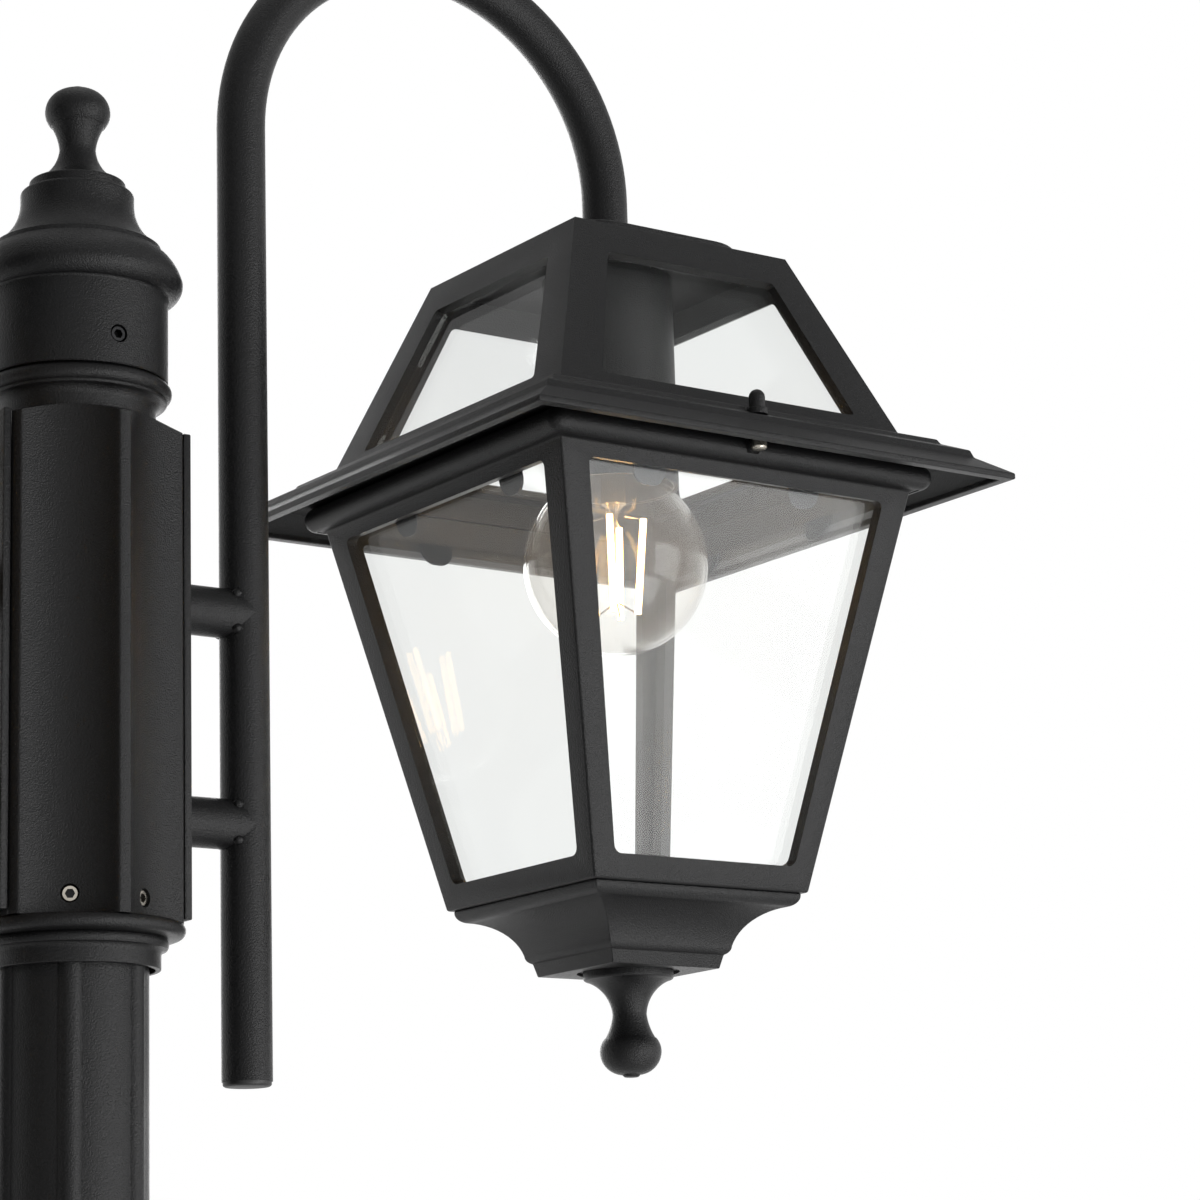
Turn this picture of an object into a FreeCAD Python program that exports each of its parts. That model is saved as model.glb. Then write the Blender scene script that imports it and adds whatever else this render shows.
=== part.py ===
"""Two-light garden lamp post: a fluted pole with a cast hub that carries two swan-neck brackets and lanterns.

Millimetres. X runs along the two arms, Z is up and the origin is the centre of the base's underside.
The head is drawn from the lower edge of the lantern's brim (height zero) and then lifted to its place.
"""
import FreeCAD
import Part
import math
import os
from collections import namedtuple

V = FreeCAD.Vector

# Whole post
brim_height = 1800.0
lantern_reach = 194.0
upright_reach = 56.0
slip = 0.2

# Pole: extruded tube with half-round beads
pole_panel_radius = 21.2
pole_bead_radius = 4.0
pole_bead_circle = 18.8
pole_bead_count = 6
pole_wall = 2.4

# Base: cast foot with a bolt flange
base_flange_radius = 95.0
base_flange_thick = 9.0
base_flange_round = 2.7
base_sweep_radius = 62.7
base_sweep_height = 11.7
base_sweep_bow = 12.4
base_height = 120.0
base_shoulder_radius = 36.0
base_shoulder_height = 62.0
base_collar_radius = 29.0
base_bead_swell = 2.5
base_bead_height = 7.5
base_lip_height = 5.0
base_seat_height = 24.0
base_cable_radius = 15.0
base_bolt_circle = 80.0
base_bolt_radius = 4.5
base_bolt_count = 4
base_bolt_turn = 45.0
base_screw_drop = 14.0
base_screw_count = 3

# Hub: cast barrel with six flutes between flat ribs, a collar above and a skirt below
hub_flute_count = 6
hub_rib_radius = 31.0
hub_rib_width = 3.6
hub_flute_radius = 23.4
hub_barrel_bottom = -146.8
hub_shoulder_top = 1.0
hub_shoulder_drop = 3.0
hub_neck_radius = 23.2
hub_neck_height = 3.2
hub_ledge_radius = 25.8
hub_ledge_drop = 6.2
hub_ledge_round = 0.4
hub_cove_bow = 0.6
hub_collar_radius = 26.4
hub_collar_bead = 27.9
hub_bead_height = 5.0
hub_collar_round = 0.6
hub_collar_top = 13.0
hub_spigot_top = 29.0
hub_spigot_radius = 22.4
hub_wall = 3.0
hub_floor = 4.0
hub_wire_radius = 4.0
hub_wire_reach = 13.0
hub_foot_bead = 31.6
hub_foot_bead_height = 4.2
hub_foot_bead_bow = 1.7
hub_foot_step = 26.3
hub_foot_step_height = 3.2
hub_foot_step_bow = 0.5
hub_foot_groove = 0.4
hub_foot_cove = 1.7
hub_skirt_radius = 24.6
hub_skirt_bottom = -160.0
hub_pole_depth = 9.0
spigot_radius = 18.5
spigot_wall = 2.5
spigot_depth = 36.0
spigot_pole_depth = 60.0
hub_screw_rise = 6.0

# Grub screws with a hex socket
grub_radius = 2.5
grub_socket = 1.3
grub_socket_depth = 1.6
grub_recess = 0.6
grub_end_gap = 0.1

# Cap and finials
cap_skirt_radius = 26.8
cap_skirt_round = 1.0
cap_brim_radius = 31.2
cap_brim_height = 44.2
cap_brim_drop = 5.0
cap_drop_bow = 1.0
cap_step_radius = 25.2
cap_step_height = 53.4
cap_step_bow = 0.95
cap_ridge_inset = 0.4
cap_ridge_rise = 1.4
cap_cove_bow = 2.3
cap_crown_radius = 16.8
cap_crown_rim = 2.6
cap_crown_round = 1.2
cap_top = 72.2
cap_inner_top = 60.0
cap_wall = 2.6
cap_screw_height = 22.0
cap_screw_turn = -90.0

finial_disc_radius = 14.3
finial_disc_thick = 3.4
finial_disc_round = 0.9
finial_flare_radius = 13.4
finial_flare_bow = 1.95
finial_neck_radius = 5.4
finial_neck_height = 14.0
finial_neck_bow = 0.48
finial_crease_radius = 8.0
finial_crease_height = 21.7
finial_knob_radius = 9.7
finial_knob_height = 26.2
finial_knob_bow = 0.45
finial_dome_height = 6.8
finial_dome_bow = 1.8
finial_nub_radius = 2.8
finial_nub_height = 0.8
finial_tip_radius = 1.7
finial_stud_radius = 3.0
finial_stud_length = 10.0

# Bracket: bent tube, two stubs and a plate on the hub
tube_radius = 7.5
tube_wall = 1.5
arch_height = 104.0
upright_bottom = -189.5
stub_heights = (-50.6, -114.2)
plate_half_width = 14.5
plate_thick = 2.5
plate_top = -1.2
plate_bottom = -145.4
plate_screw_inset = 12.0
plate_screw_radius = 2.4
plate_screw_head_radius = 4.4
plate_screw_head_height = 2.4
plate_screw_head_flat = 2.2
plate_screw_head_bow = 0.6
plug_thick = 1.5
plug_step = 0.35
plug_spigot = 8.0

# Lantern roof: glazed pyramid and moulded brim in one casting
roof_top_half = 42.0
roof_top = 79.7
roof_foot_half = 66.0
roof_foot = 18.2
roof_wall = 3.0
roof_bar_top = 13.6
roof_bar_foot = 15.0
roof_opening_top = 68.6
roof_opening_foot = 22.0
pad_half = 34.5
pad_height = 4.8
pad_corner = 15.0
brim_ledge = 8.8
brim_lip = 1.9
brim_lip_round = 0.5
brim_lip_width = 3.8
brim_slope_run = 9.0
brim_slope_rise = 6.2
brim_lower_step = 2.5
brim_flat_run = 6.5
brim_flat_rise = 2.8
brim_upper_step = 1.6
brim_step_draft = 0.85
brim_seat_height = 6.6
brim_trough = 8.6
brim_seat_step = 1.2
brim_opening_half = 60.0

# Lantern cage: tapered frame with a half-round crown
cage_top_half = 68.2
cage_top = -1.4
cage_foot_half = 41.2
cage_foot = -129.2
cage_wall = 4.0
cage_bar_top = 9.8
cage_bar_foot = 8.2
cage_opening_top = -6.2
cage_opening_foot = -121.6
cage_opening_corner = 2.5
crown_half = 74.4

# Glass
pane_thick = 2.0
pane_overlap = 1.6
pane_gap = 0.2
clip_width = 12.0
clip_height = 7.0
clip_thick = 0.8
clip_reach = 30.0

# Screws that hold the cage to the roof
cage_screw_inset = 5.15
cage_screw_radius = 1.6
cage_screw_head_radius = 2.6
cage_screw_head_height = 3.6
lug_width = 7.0
lug_thick = 2.0
cap_nut_radius = 2.55
cap_nut_height = 8.2
cap_nut_flange_radius = 3.2
cap_nut_flange_height = 2.0
nut_recess_radius = 3.8
crown_notch_floor = 0.6

# Base cup under the cage
cup_lip_half = 39.4
cup_lip = 4.0
cup_lip_bow = 1.2
cup_cove_half = 23.4
cup_cove_bottom = -146.4
cup_cove_bow = 4.2
cup_fascia_half = 21.4
cup_fascia_draft = 0.8
cup_fascia_step = 0.8
cup_bottom = -151.6
cup_wall = 3.0
cup_recess_radius = 16.3
cup_recess = 1.0

# Lampholder and bulb
sleeve_radius = 21.4
sleeve_wall = 1.4
sleeve_bottom = 6.0
arm_nut_across = 24.0
arm_nut_thick = 5.0
arm_end_below_nut = 1.0
holder_radius = 18.6
holder_bottom = 26.0
holder_top_wall = 6.0
holder_shoulder = 3.0
holder_shoulder_bow = 1.0
bulb_radius = 30.0
bulb_centre = -19.0
bulb_wall = 0.9
bulb_neck_radius = 13.0
bulb_neck_top = 31.0
bulb_shoulder_angle = 48.0
bulb_neck_bow = 1.6
screw_cap_radius = 13.2
screw_cap_top = 54.0
screw_cap_shoulder = 3.0
screw_cap_bow = 1.0
contact_radius = 5.0
contact_height = 2.0
stem_radius = 4.0
stem_bottom = 1.0
stem_flare_bow = 2.0
stem_rod_radius = 1.2
stem_rod_bottom = -30.0
filament_count = 4
filament_turn = 45.0
filament_radius = 1.1
filament_top = 3.0
filament_bottom = -36.0
filament_top_circle = 4.6
filament_bottom_circle = 9.0

# Terminal block under the cap
block_length = 28.0
block_width = 16.0
block_height = 14.0
block_way_height = 5.6
block_ways = 3
block_pitch = 8.5
block_bore = 2.2

Slope = namedtuple("Slope", "foot_half foot head_half head")
roof_slope = Slope(roof_foot_half, roof_foot, roof_top_half, roof_top)
cage_slope = Slope(cage_foot_half, cage_foot, cage_top_half, cage_top)
brim_lower_half = roof_foot_half + brim_ledge + brim_step_draft + brim_flat_run
brim_half = brim_lower_half + brim_step_draft + brim_slope_run
brim_seat_half = brim_half - brim_lip_width - brim_trough
cage_screw_reach = brim_lower_half - cage_screw_inset
pole_crest = pole_bead_circle + pole_bead_radius
pole_socket = pole_crest + slip


def outline(*steps):
    """Closed face in the XZ plane. A step is (x, z) for a line or (x, z, bow) for an arc bowed to the left."""
    edges = []
    here = V(steps[0][0], 0, steps[0][1])
    for step in steps[1:] + steps[:1]:
        end = V(step[0], 0, step[1])
        run = end - here
        if run.Length > 1e-6:
            bow = step[2] if len(step) == 3 else 0.0
            if bow:
                left = V(-run.z, 0, run.x).normalize()
                edges.append(Part.Arc(here, here + run * 0.5 + left * bow, end).toShape())
            else:
                edges.append(Part.LineSegment(here, end).toShape())
        here = end
    return Part.Face(Part.Wire(edges))


def turned(*steps):
    """Solid turned about Z from an outline."""
    return outline(*steps).revolve(V(0, 0, 0), V(0, 0, 1), 360)


def quarter_turns(shape):
    """The shape and its three copies about Z."""
    turns = []
    for quarter in range(4):
        copy = shape.copy()
        copy.rotate(V(0, 0, 0), V(0, 0, 1), 90 * quarter)
        turns.append(copy)
    return turns


def mitred(*steps):
    """Four-sided solid: the outline runs along each side and is mitred at the corners."""
    section = outline(*steps)
    box = section.BoundBox
    reach = box.XMax
    section.translate(V(0, -reach, 0))
    bar = section.extrude(V(0, 2 * reach, 0))
    corners = [V(0, 0, box.ZMin), V(reach, -reach, box.ZMin), V(reach, reach, box.ZMin), V(0, 0, box.ZMin)]
    wedge = Part.Face(Part.makePolygon(corners)).extrude(V(0, 0, box.ZLength))
    sides = quarter_turns(bar.common(wedge))
    return sides[0].multiFuse(sides[1:]).removeSplitter()


def rod(radius, foot, head):
    """Round bar between two points."""
    return Part.makeCylinder(radius, (head - foot).Length, foot, head - foot)


def hexagon(corner, height):
    """Six-sided bar on height zero, by the distance of its corners from the axis."""
    angles = [math.radians(60 * number) for number in range(7)]
    rim = Part.makePolygon([V(corner * math.cos(angle), corner * math.sin(angle), 0) for angle in angles])
    return Part.Face(rim).extrude(V(0, 0, height))


def around(shape, count, start=0.0):
    """Copies of a shape spread evenly about Z."""
    copies = []
    for number in range(count):
        copy = shape.copy()
        copy.rotate(V(0, 0, 0), V(0, 0, 1), start + 360.0 * number / count)
        copies.append(copy)
    return copies


def group(shapes):
    """Separate solids kept together as one piece of the assembly."""
    return Part.makeCompound(shapes)


def half_at(slope, height):
    """Half width of a slanted face at a height."""
    share = (height - slope.foot) / (slope.head - slope.foot)
    return slope.foot_half + share * (slope.head_half - slope.foot_half)


def slope_plate(slope, foot, head, foot_bar, head_bar, depth, thick, corner=0.0):
    """Plate parallel to the +X slanted face, sunk by a depth, with margins to the face's corners."""
    normal = V(slope.head - slope.foot, 0, slope.foot_half - slope.head_half).normalize()
    rim = []
    corners = ((foot, foot_bar, -1), (foot, foot_bar, 1), (head, head_bar, 1), (head, head_bar, -1))
    for height, bar, side in corners:
        half = half_at(slope, height)
        rim.append(V(half, side * (half - bar), height) - normal * depth)
    plate = Part.Face(Part.makePolygon(rim + rim[:1])).extrude(normal * -thick)
    if corner:
        plate = plate.makeFillet(corner, [e for e in plate.Edges if abs(e.tangentAt(0).dot(normal)) > 0.99])
    return plate


def grub_screw(outer_end, inner_end, height, angle):
    """Socket set screw that points at the post's axis, between two distances from it."""
    outer = V(outer_end, 0, height)
    screw = rod(grub_radius, V(inner_end + grub_end_gap, 0, height), outer)
    socket = hexagon(grub_socket, grub_socket_depth)
    socket.rotate(V(0, 0, 0), V(0, 1, 0), -90)
    socket.translate(outer)
    screw = screw.cut(socket)
    screw.rotate(V(0, 0, 0), V(0, 0, 1), angle)
    return screw


def grub_hole(outer_end, inner_end, height, angle):
    """Hole for a set screw, open at both ends."""
    hole = rod(grub_radius + slip, V(inner_end, 0, height), V(outer_end + grub_radius * 2, 0, height))
    hole.rotate(V(0, 0, 0), V(0, 0, 1), angle)
    return hole


def finial():
    """Cast knob on a flared neck and disc, seated at height zero, with its stud below."""
    nub_foot = finial_knob_height + finial_dome_height
    tip = nub_foot + finial_nub_height
    body = turned(
        (0, 0), (finial_disc_radius, 0), (finial_disc_radius, finial_disc_thick - finial_disc_round),
        (finial_flare_radius, finial_disc_thick, -finial_disc_round * bow_of(math.pi / 2)),
        (finial_neck_radius, finial_neck_height, finial_flare_bow),
        (finial_crease_radius, finial_crease_height, finial_neck_bow),
        (finial_knob_radius, finial_knob_height, -finial_knob_bow),
        (finial_nub_radius, nub_foot, -finial_dome_bow), (finial_tip_radius, tip), (0, tip))
    return body.fuse(rod(finial_stud_radius, V(0, 0, -finial_stud_length), V(0, 0, 0))).removeSplitter()


def post_base():
    """Foot casting with a bolt flange, a swept shoulder and a socket for the pole."""
    collar_foot = base_height - base_screw_drop * 2
    shape = turned(
        (base_cable_radius, 0), (base_flange_radius, 0),
        (base_flange_radius, base_flange_thick - base_flange_round),
        (base_flange_radius - base_flange_round, base_flange_thick, -base_flange_round * bow_of(math.pi / 2)),
        (base_sweep_radius, base_sweep_height), (base_shoulder_radius, base_shoulder_height, base_sweep_bow),
        (base_shoulder_radius, base_shoulder_height + base_bead_height, -base_bead_swell),
        (base_collar_radius, collar_foot, base_bead_swell), (base_collar_radius, base_height - base_lip_height),
        (base_collar_radius, base_height, -base_bead_swell),
        (pole_socket, base_height), (pole_socket, base_seat_height), (base_cable_radius, base_seat_height))
    holes = around(rod(base_bolt_radius, V(base_bolt_circle, 0, 0),
                       V(base_bolt_circle, 0, base_shoulder_height)), base_bolt_count, base_bolt_turn)
    holes += [grub_hole(base_collar_radius, pole_panel_radius, base_height - base_screw_drop, angle)
              for angle in base_screw_angles()]
    return shape.cut(holes)


def base_screw_angles():
    """Directions of the base's set screws, between the pole's beads."""
    return [180.0 / pole_bead_count + 360.0 * k / base_screw_count for k in range(base_screw_count)]


def base_set_screws():
    """Set screws that clamp the pole in the base."""
    return [grub_screw(base_collar_radius, pole_panel_radius, base_height - base_screw_drop, angle)
            for angle in base_screw_angles()]


def pole():
    """Extruded tube with half-round beads, from the base's seat into the hub's skirt."""
    foot = V(0, 0, base_seat_height)
    head = V(0, 0, brim_height + hub_skirt_bottom + hub_pole_depth - slip)
    beads = around(rod(pole_bead_radius, foot + V(pole_bead_circle, 0, 0), head + V(pole_bead_circle, 0, 0)),
                   pole_bead_count)
    return rod(pole_panel_radius, foot, head).fuse(beads).cut(rod(pole_panel_radius - pole_wall, foot, head))


def pole_spigot():
    """Inner tube that joins the pole to the hub and takes the hub's set screws."""
    top = hub_skirt_bottom + hub_pole_depth + spigot_depth
    foot = V(0, 0, hub_skirt_bottom - spigot_pole_depth)
    return rod(spigot_radius, foot, V(0, 0, top)).cut(rod(spigot_radius - spigot_wall, foot, V(0, 0, top)))


def hub_barrel(low, high):
    """Prism of flat ribs with a hollow flute between each pair."""
    step = math.radians(360.0 / hub_flute_count)
    edges = []
    for number in range(hub_flute_count):
        angle = step * number
        rib = V(math.cos(angle + step / 2), math.sin(angle + step / 2), 0)
        along = V(-rib.y, rib.x, 0) * (hub_rib_width / 2)
        ends = [rib * hub_rib_radius - along, rib * hub_rib_radius + along]
        flute = V(math.cos(angle), math.sin(angle), 0) * hub_flute_radius
        last = V(math.cos(angle - step / 2), math.sin(angle - step / 2), 0)
        start = last * hub_rib_radius + V(-last.y, last.x, 0) * (hub_rib_width / 2)
        edges.append(Part.Arc(start, flute, ends[0]).toShape())
        edges.append(Part.LineSegment(*ends).toShape())
    prism = Part.Face(Part.Wire(edges)).extrude(V(0, 0, high - low))
    prism.translate(V(0, 0, low))
    return prism


def hub_screw_angles():
    """Directions of the hub's set screws: the flutes that no bracket plate covers."""
    step = 360.0 / hub_flute_count
    return [step * k for k in range(hub_flute_count) if k % (hub_flute_count // 2)]


def hub_screw_height():
    """Height of the hub's set screws above the barrel's foot."""
    return hub_barrel_bottom + hub_screw_rise


def hub_set_screws():
    """Set screws that clamp the inner tube in the hub."""
    return [grub_screw(hub_flute_radius - grub_recess, spigot_radius, hub_screw_height(), angle)
            for angle in hub_screw_angles()]


def hub():
    """Casting that joins the pole, the cap and the two brackets."""
    reach = hub_rib_radius + hub_rib_width
    shoulder = turned((0, hub_barrel_bottom), (reach, hub_barrel_bottom),
                      (reach, hub_shoulder_top - hub_shoulder_drop * (reach - hub_neck_radius)
                       / (hub_rib_radius - hub_neck_radius)),
                      (hub_neck_radius, hub_shoulder_top), (0, hub_shoulder_top))
    barrel = hub_barrel(hub_barrel_bottom, hub_shoulder_top).common(shoulder)
    collar = turned(
        (0, hub_shoulder_top), (hub_neck_radius, hub_shoulder_top),
        (hub_neck_radius, hub_shoulder_top + hub_neck_height),
        (hub_ledge_radius, hub_collar_top - hub_ledge_drop, hub_cove_bow),
        (hub_collar_radius, hub_collar_top - hub_bead_height, -hub_ledge_round),
        (hub_collar_radius, hub_collar_top - hub_collar_round, hub_collar_radius - hub_collar_bead),
        (hub_collar_radius - hub_collar_round, hub_collar_top), (hub_spigot_radius, hub_collar_top),
        (hub_spigot_radius, hub_spigot_top), (0, hub_spigot_top))
    bead_bottom = hub_barrel_bottom - hub_foot_bead_height
    step_bottom = bead_bottom - hub_foot_step_height
    foot_edge = hub_foot_bead - hub_foot_bead_bow
    foot = turned(
        (0, hub_skirt_bottom), (hub_skirt_radius, hub_skirt_bottom),
        (hub_skirt_radius, step_bottom - hub_foot_cove), (hub_foot_step, step_bottom, hub_foot_step_bow),
        (hub_foot_step, bead_bottom - hub_foot_groove, -hub_foot_step_bow),
        (foot_edge, bead_bottom), (foot_edge, hub_barrel_bottom, -hub_foot_bead_bow), (0, hub_barrel_bottom))
    body = barrel.fuse([collar, foot])
    pole_end = hub_skirt_bottom + hub_pole_depth
    bore = spigot_radius + slip
    bores = [rod(pole_socket, V(0, 0, hub_skirt_bottom), V(0, 0, pole_end)),
             rod(bore, V(0, 0, pole_end), V(0, 0, hub_collar_top - hub_floor)),
             rod(hub_spigot_radius - hub_wall, V(0, 0, hub_collar_top), V(0, 0, hub_spigot_top))]
    wire_way = rod(hub_wire_radius, V(0, hub_wire_reach, hub_shoulder_top),
                   V(0, hub_wire_reach, hub_spigot_top))
    screw_holes = [grub_hole(hub_flute_radius, spigot_radius, hub_screw_height(), angle)
                   for angle in hub_screw_angles()]
    return body.cut(bores + around(wire_way, 2) + screw_holes + plate_screw_holes()).removeSplitter()


def plate_inner():
    """Distance from the post axis to the inner face of a bracket plate, where it meets the ribs' edges."""
    half_step = math.radians(180.0 / hub_flute_count)
    return hub_rib_radius * math.cos(half_step) + hub_rib_width / 2 * math.sin(half_step)


def plate_screw_heights():
    """Heights of the two screws that hold a bracket plate."""
    return plate_top - plate_screw_inset, plate_bottom + plate_screw_inset


def plate_screw_holes():
    """Holes in the hub for the plate screws of both brackets."""
    holes = []
    for side in (-1, 1):
        for height in plate_screw_heights():
            holes.append(rod(plate_screw_radius + slip, V(side * spigot_radius, 0, height),
                             V(side * plate_inner(), 0, height)))
    return holes


def plate_screws():
    """Button-head screws through the bracket plates into the hub."""
    screws = []
    face = plate_inner() + plate_thick
    for side in (-1, 1):
        for height in plate_screw_heights():
            head = turned((0, 0), (plate_screw_head_radius, 0),
                          (plate_screw_head_flat, plate_screw_head_height, -plate_screw_head_bow),
                          (0, plate_screw_head_height))
            shank = rod(plate_screw_radius, V(0, 0, spigot_radius + grub_end_gap - face), V(0, 0, 0))
            screw = head.fuse(shank).removeSplitter()
            screw.rotate(V(0, 0, 0), V(0, 1, 0), 90 * side)
            screw.translate(V(side * face, 0, height))
            screws.append(screw)
    return group(screws)


def bracket():
    """Weldment on the +X side: plate, two stubs and the bent tube that ends inside the lantern's roof."""
    arch_radius = (lantern_reach - upright_reach) / 2
    crown = V(upright_reach + arch_radius, 0, arch_height + arch_radius)
    points = [V(upright_reach, 0, upright_bottom), V(upright_reach, 0, arch_height),
              V(lantern_reach, 0, arch_height), V(lantern_reach, 0, arm_end())]
    path = Part.Wire([Part.LineSegment(points[0], points[1]).toShape(),
                      Part.Arc(points[1], crown, points[2]).toShape(),
                      Part.LineSegment(points[2], points[3]).toShape()])
    skins = []
    for radius in (tube_radius, tube_radius - tube_wall):
        ring = Part.Wire(Part.makeCircle(radius, points[0], V(0, 0, 1)))
        skins.append(path.makePipeShell([ring], True, True))
    face = plate_inner() + plate_thick
    stubs = [rod(tube_radius, V(face, 0, z), V(upright_reach, 0, z)) for z in stub_heights]
    plate = Part.makeBox(plate_thick, 2 * plate_half_width, plate_top - plate_bottom,
                         V(plate_inner(), -plate_half_width, plate_bottom))
    holes = [rod(plate_screw_radius + slip, V(plate_inner(), 0, z), V(face, 0, z))
             for z in plate_screw_heights()]
    return skins[0].fuse(stubs + [plate]).cut(holes + [skins[1]]).removeSplitter()


def tube_plug():
    """Push-in plug that closes the lower end of the bracket's upright."""
    bore = tube_radius - tube_wall
    plug = turned((0, -plug_thick), (tube_radius - plug_step * 2, -plug_thick),
                  (tube_radius - plug_step, -plug_step), (tube_radius - plug_step, 0), (bore - slip, 0),
                  (bore - slip, plug_spigot), (0, plug_spigot))
    plug.translate(V(upright_reach, 0, upright_bottom))
    return plug


def post_cap():
    """Turned cap over the hub's spigot."""
    inner = hub_spigot_radius + slip
    roof = hub_spigot_top + cap_wall
    brim_under = cap_brim_height - cap_brim_drop
    shape = turned(
        (inner, hub_collar_top), (cap_skirt_radius, hub_collar_top),
        (cap_skirt_radius, brim_under - cap_skirt_round),
        (cap_skirt_radius + cap_skirt_round, brim_under, cap_skirt_round * bow_of(math.pi / 2)),
        (cap_brim_radius, cap_brim_height, -cap_drop_bow), (cap_step_radius, cap_step_height, -cap_step_bow),
        (cap_step_radius - cap_ridge_inset, cap_step_height + cap_ridge_rise),
        (cap_crown_radius, cap_top - cap_crown_rim, cap_cove_bow),
        (cap_crown_radius, cap_top - cap_crown_round),
        (cap_crown_radius - cap_crown_round, cap_top, -cap_crown_round * bow_of(math.pi / 2)),
        (finial_stud_radius + slip, cap_top), (finial_stud_radius + slip, cap_inner_top),
        (cap_crown_radius - cap_wall, cap_inner_top - cap_wall), (inner - cap_wall, roof), (inner, roof))
    return shape.cut(grub_hole(cap_skirt_radius, hub_spigot_radius, cap_screw_height, cap_screw_turn))


def terminal_block():
    """Insulated terminal strip on the hub's floor, under the cap."""
    block = Part.makeBox(block_length, block_width, block_height,
                         V(-block_length / 2, -block_width / 2, hub_collar_top))
    middle = hub_collar_top + block_way_height
    cuts = []
    for way in range(block_ways):
        x = (way - (block_ways - 1) / 2) * block_pitch
        cuts.append(rod(block_bore, V(x, -block_width, middle), V(x, block_width, middle)))
        for side in (-1, 1):
            y = side * block_width / 4
            cuts.append(rod(block_bore, V(x, y, middle), V(x, y, hub_collar_top + block_height)))
    return block.cut(cuts)


def arm_end():
    """Height of the bracket tube's end, below its nut inside the roof."""
    return roof_top - roof_wall - arm_nut_thick - arm_end_below_nut


def lantern_roof():
    """Roof casting: top plate with its pad, four glazed slopes and the moulded brim."""
    inner_shift = roof_wall / math.cos(math.atan2(roof_foot_half - roof_top_half, roof_top - roof_foot))
    inner_top = roof_top - roof_wall
    lip_inner = brim_half - brim_lip_width
    body = mitred(
        (0, inner_top), (half_at(roof_slope, inner_top) - inner_shift, inner_top),
        (half_at(roof_slope, roof_foot) - inner_shift, roof_foot),
        (brim_opening_half, roof_foot - roof_wall), (brim_opening_half, brim_seat_height),
        (brim_seat_half, brim_seat_height), (brim_seat_half, brim_seat_height + brim_seat_step),
        (lip_inner, brim_lip), (lip_inner, 0), (brim_half, 0), (brim_half, brim_lip - brim_lip_round),
        (brim_half - brim_lip_round, brim_lip, -brim_lip_round * bow_of(math.pi / 2)), *brim_steps(),
        (roof_foot_half, roof_foot), (roof_top_half, roof_top), (0, roof_top))
    pad = Part.makeBox(2 * pad_half, 2 * pad_half, pad_height, V(-pad_half, -pad_half, roof_top))
    pad = pad.makeFillet(pad_corner, [e for e in pad.Edges if abs(e.tangentAt(0).z) > 0.99])
    opening = slope_plate(roof_slope, roof_opening_foot, roof_opening_top, roof_bar_foot, roof_bar_top,
                          -roof_wall, roof_wall * 3)
    arm_hole = rod(tube_radius + slip, V(0, 0, inner_top), V(0, 0, roof_top + pad_height))
    screw_holes = []
    for side in (-1, 1):
        centre = V(0, side * cage_screw_reach, 0)
        screw_holes.append(rod(cage_screw_radius + slip, centre, centre + V(0, 0, roof_foot)))
        screw_holes.append(rod(nut_recess_radius, centre + V(0, 0, nut_seat()), centre + V(0, 0, roof_foot)))
    return body.fuse(pad).cut(quarter_turns(opening) + [arm_hole] + screw_holes).removeSplitter()


def lantern_cage():
    """Tapered four-sided frame with a half-round crown that closes against the roof."""
    inner_shift = cage_wall / math.cos(math.atan2(cage_top_half - cage_foot_half, cage_top - cage_foot))
    crown_radius = (brim_seat_height - cage_top) / 2
    crown_root = crown_half - crown_radius
    inner_half = cage_top_half - inner_shift
    body = mitred(
        (cage_foot_half, cage_foot), (cage_top_half, cage_top), (crown_root, cage_top),
        (crown_root, brim_seat_height, -crown_radius), (brim_opening_half, brim_seat_height),
        (inner_half, cage_top), (cage_foot_half - inner_shift, cage_foot))
    opening = slope_plate(cage_slope, cage_opening_foot, cage_opening_top, cage_bar_foot, cage_bar_top,
                          -cage_wall, cage_wall * 3, cage_opening_corner)
    lug_bottom = brim_seat_height - lug_thick
    hole_radius = cage_screw_radius + slip
    lugs = []
    notches = []
    holes = []
    for side in (-1, 1):
        centre = V(0, side * cage_screw_reach, 0)
        lug_foot = centre + V(0, 0, lug_bottom)
        lug_head = centre + V(0, 0, brim_seat_height)
        notches.append(rod(nut_recess_radius, centre + V(0, 0, crown_notch_floor), lug_foot))
        lug = Part.makeBox(lug_width, cage_screw_reach - inner_half, lug_thick,
                           V(-lug_width / 2, min(side * inner_half, side * cage_screw_reach), lug_bottom))
        lugs.append(lug.fuse(rod(lug_width / 2, lug_foot, lug_head)))
        holes.append(rod(hole_radius, lug_foot, lug_head))
    return body.cut(quarter_turns(opening) + notches).fuse(lugs).cut(holes).removeSplitter()


def pane(slope, foot, head, foot_bar, head_bar, wall):
    """Glass plate behind an opening, lapping the frame all round."""
    return slope_plate(slope, foot - pane_overlap, head + pane_overlap, foot_bar - pane_overlap,
                       head_bar - pane_overlap, wall + pane_gap, pane_thick)


def pane_clips():
    """Two spring tabs behind the top edge of each cage pane."""
    clips = []
    top = cage_opening_top + pane_overlap
    foot = top - clip_height
    depth = cage_wall + pane_gap * 2 + pane_thick
    foot_bar = half_at(cage_slope, foot) - clip_width / 2
    head_bar = half_at(cage_slope, top) - clip_width / 2
    for side in (-1, 1):
        clip = slope_plate(cage_slope, foot, top, foot_bar, head_bar, depth, clip_thick)
        clip.translate(V(0, side * clip_reach, 0))
        clips += quarter_turns(clip)
    return group(clips)


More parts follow.
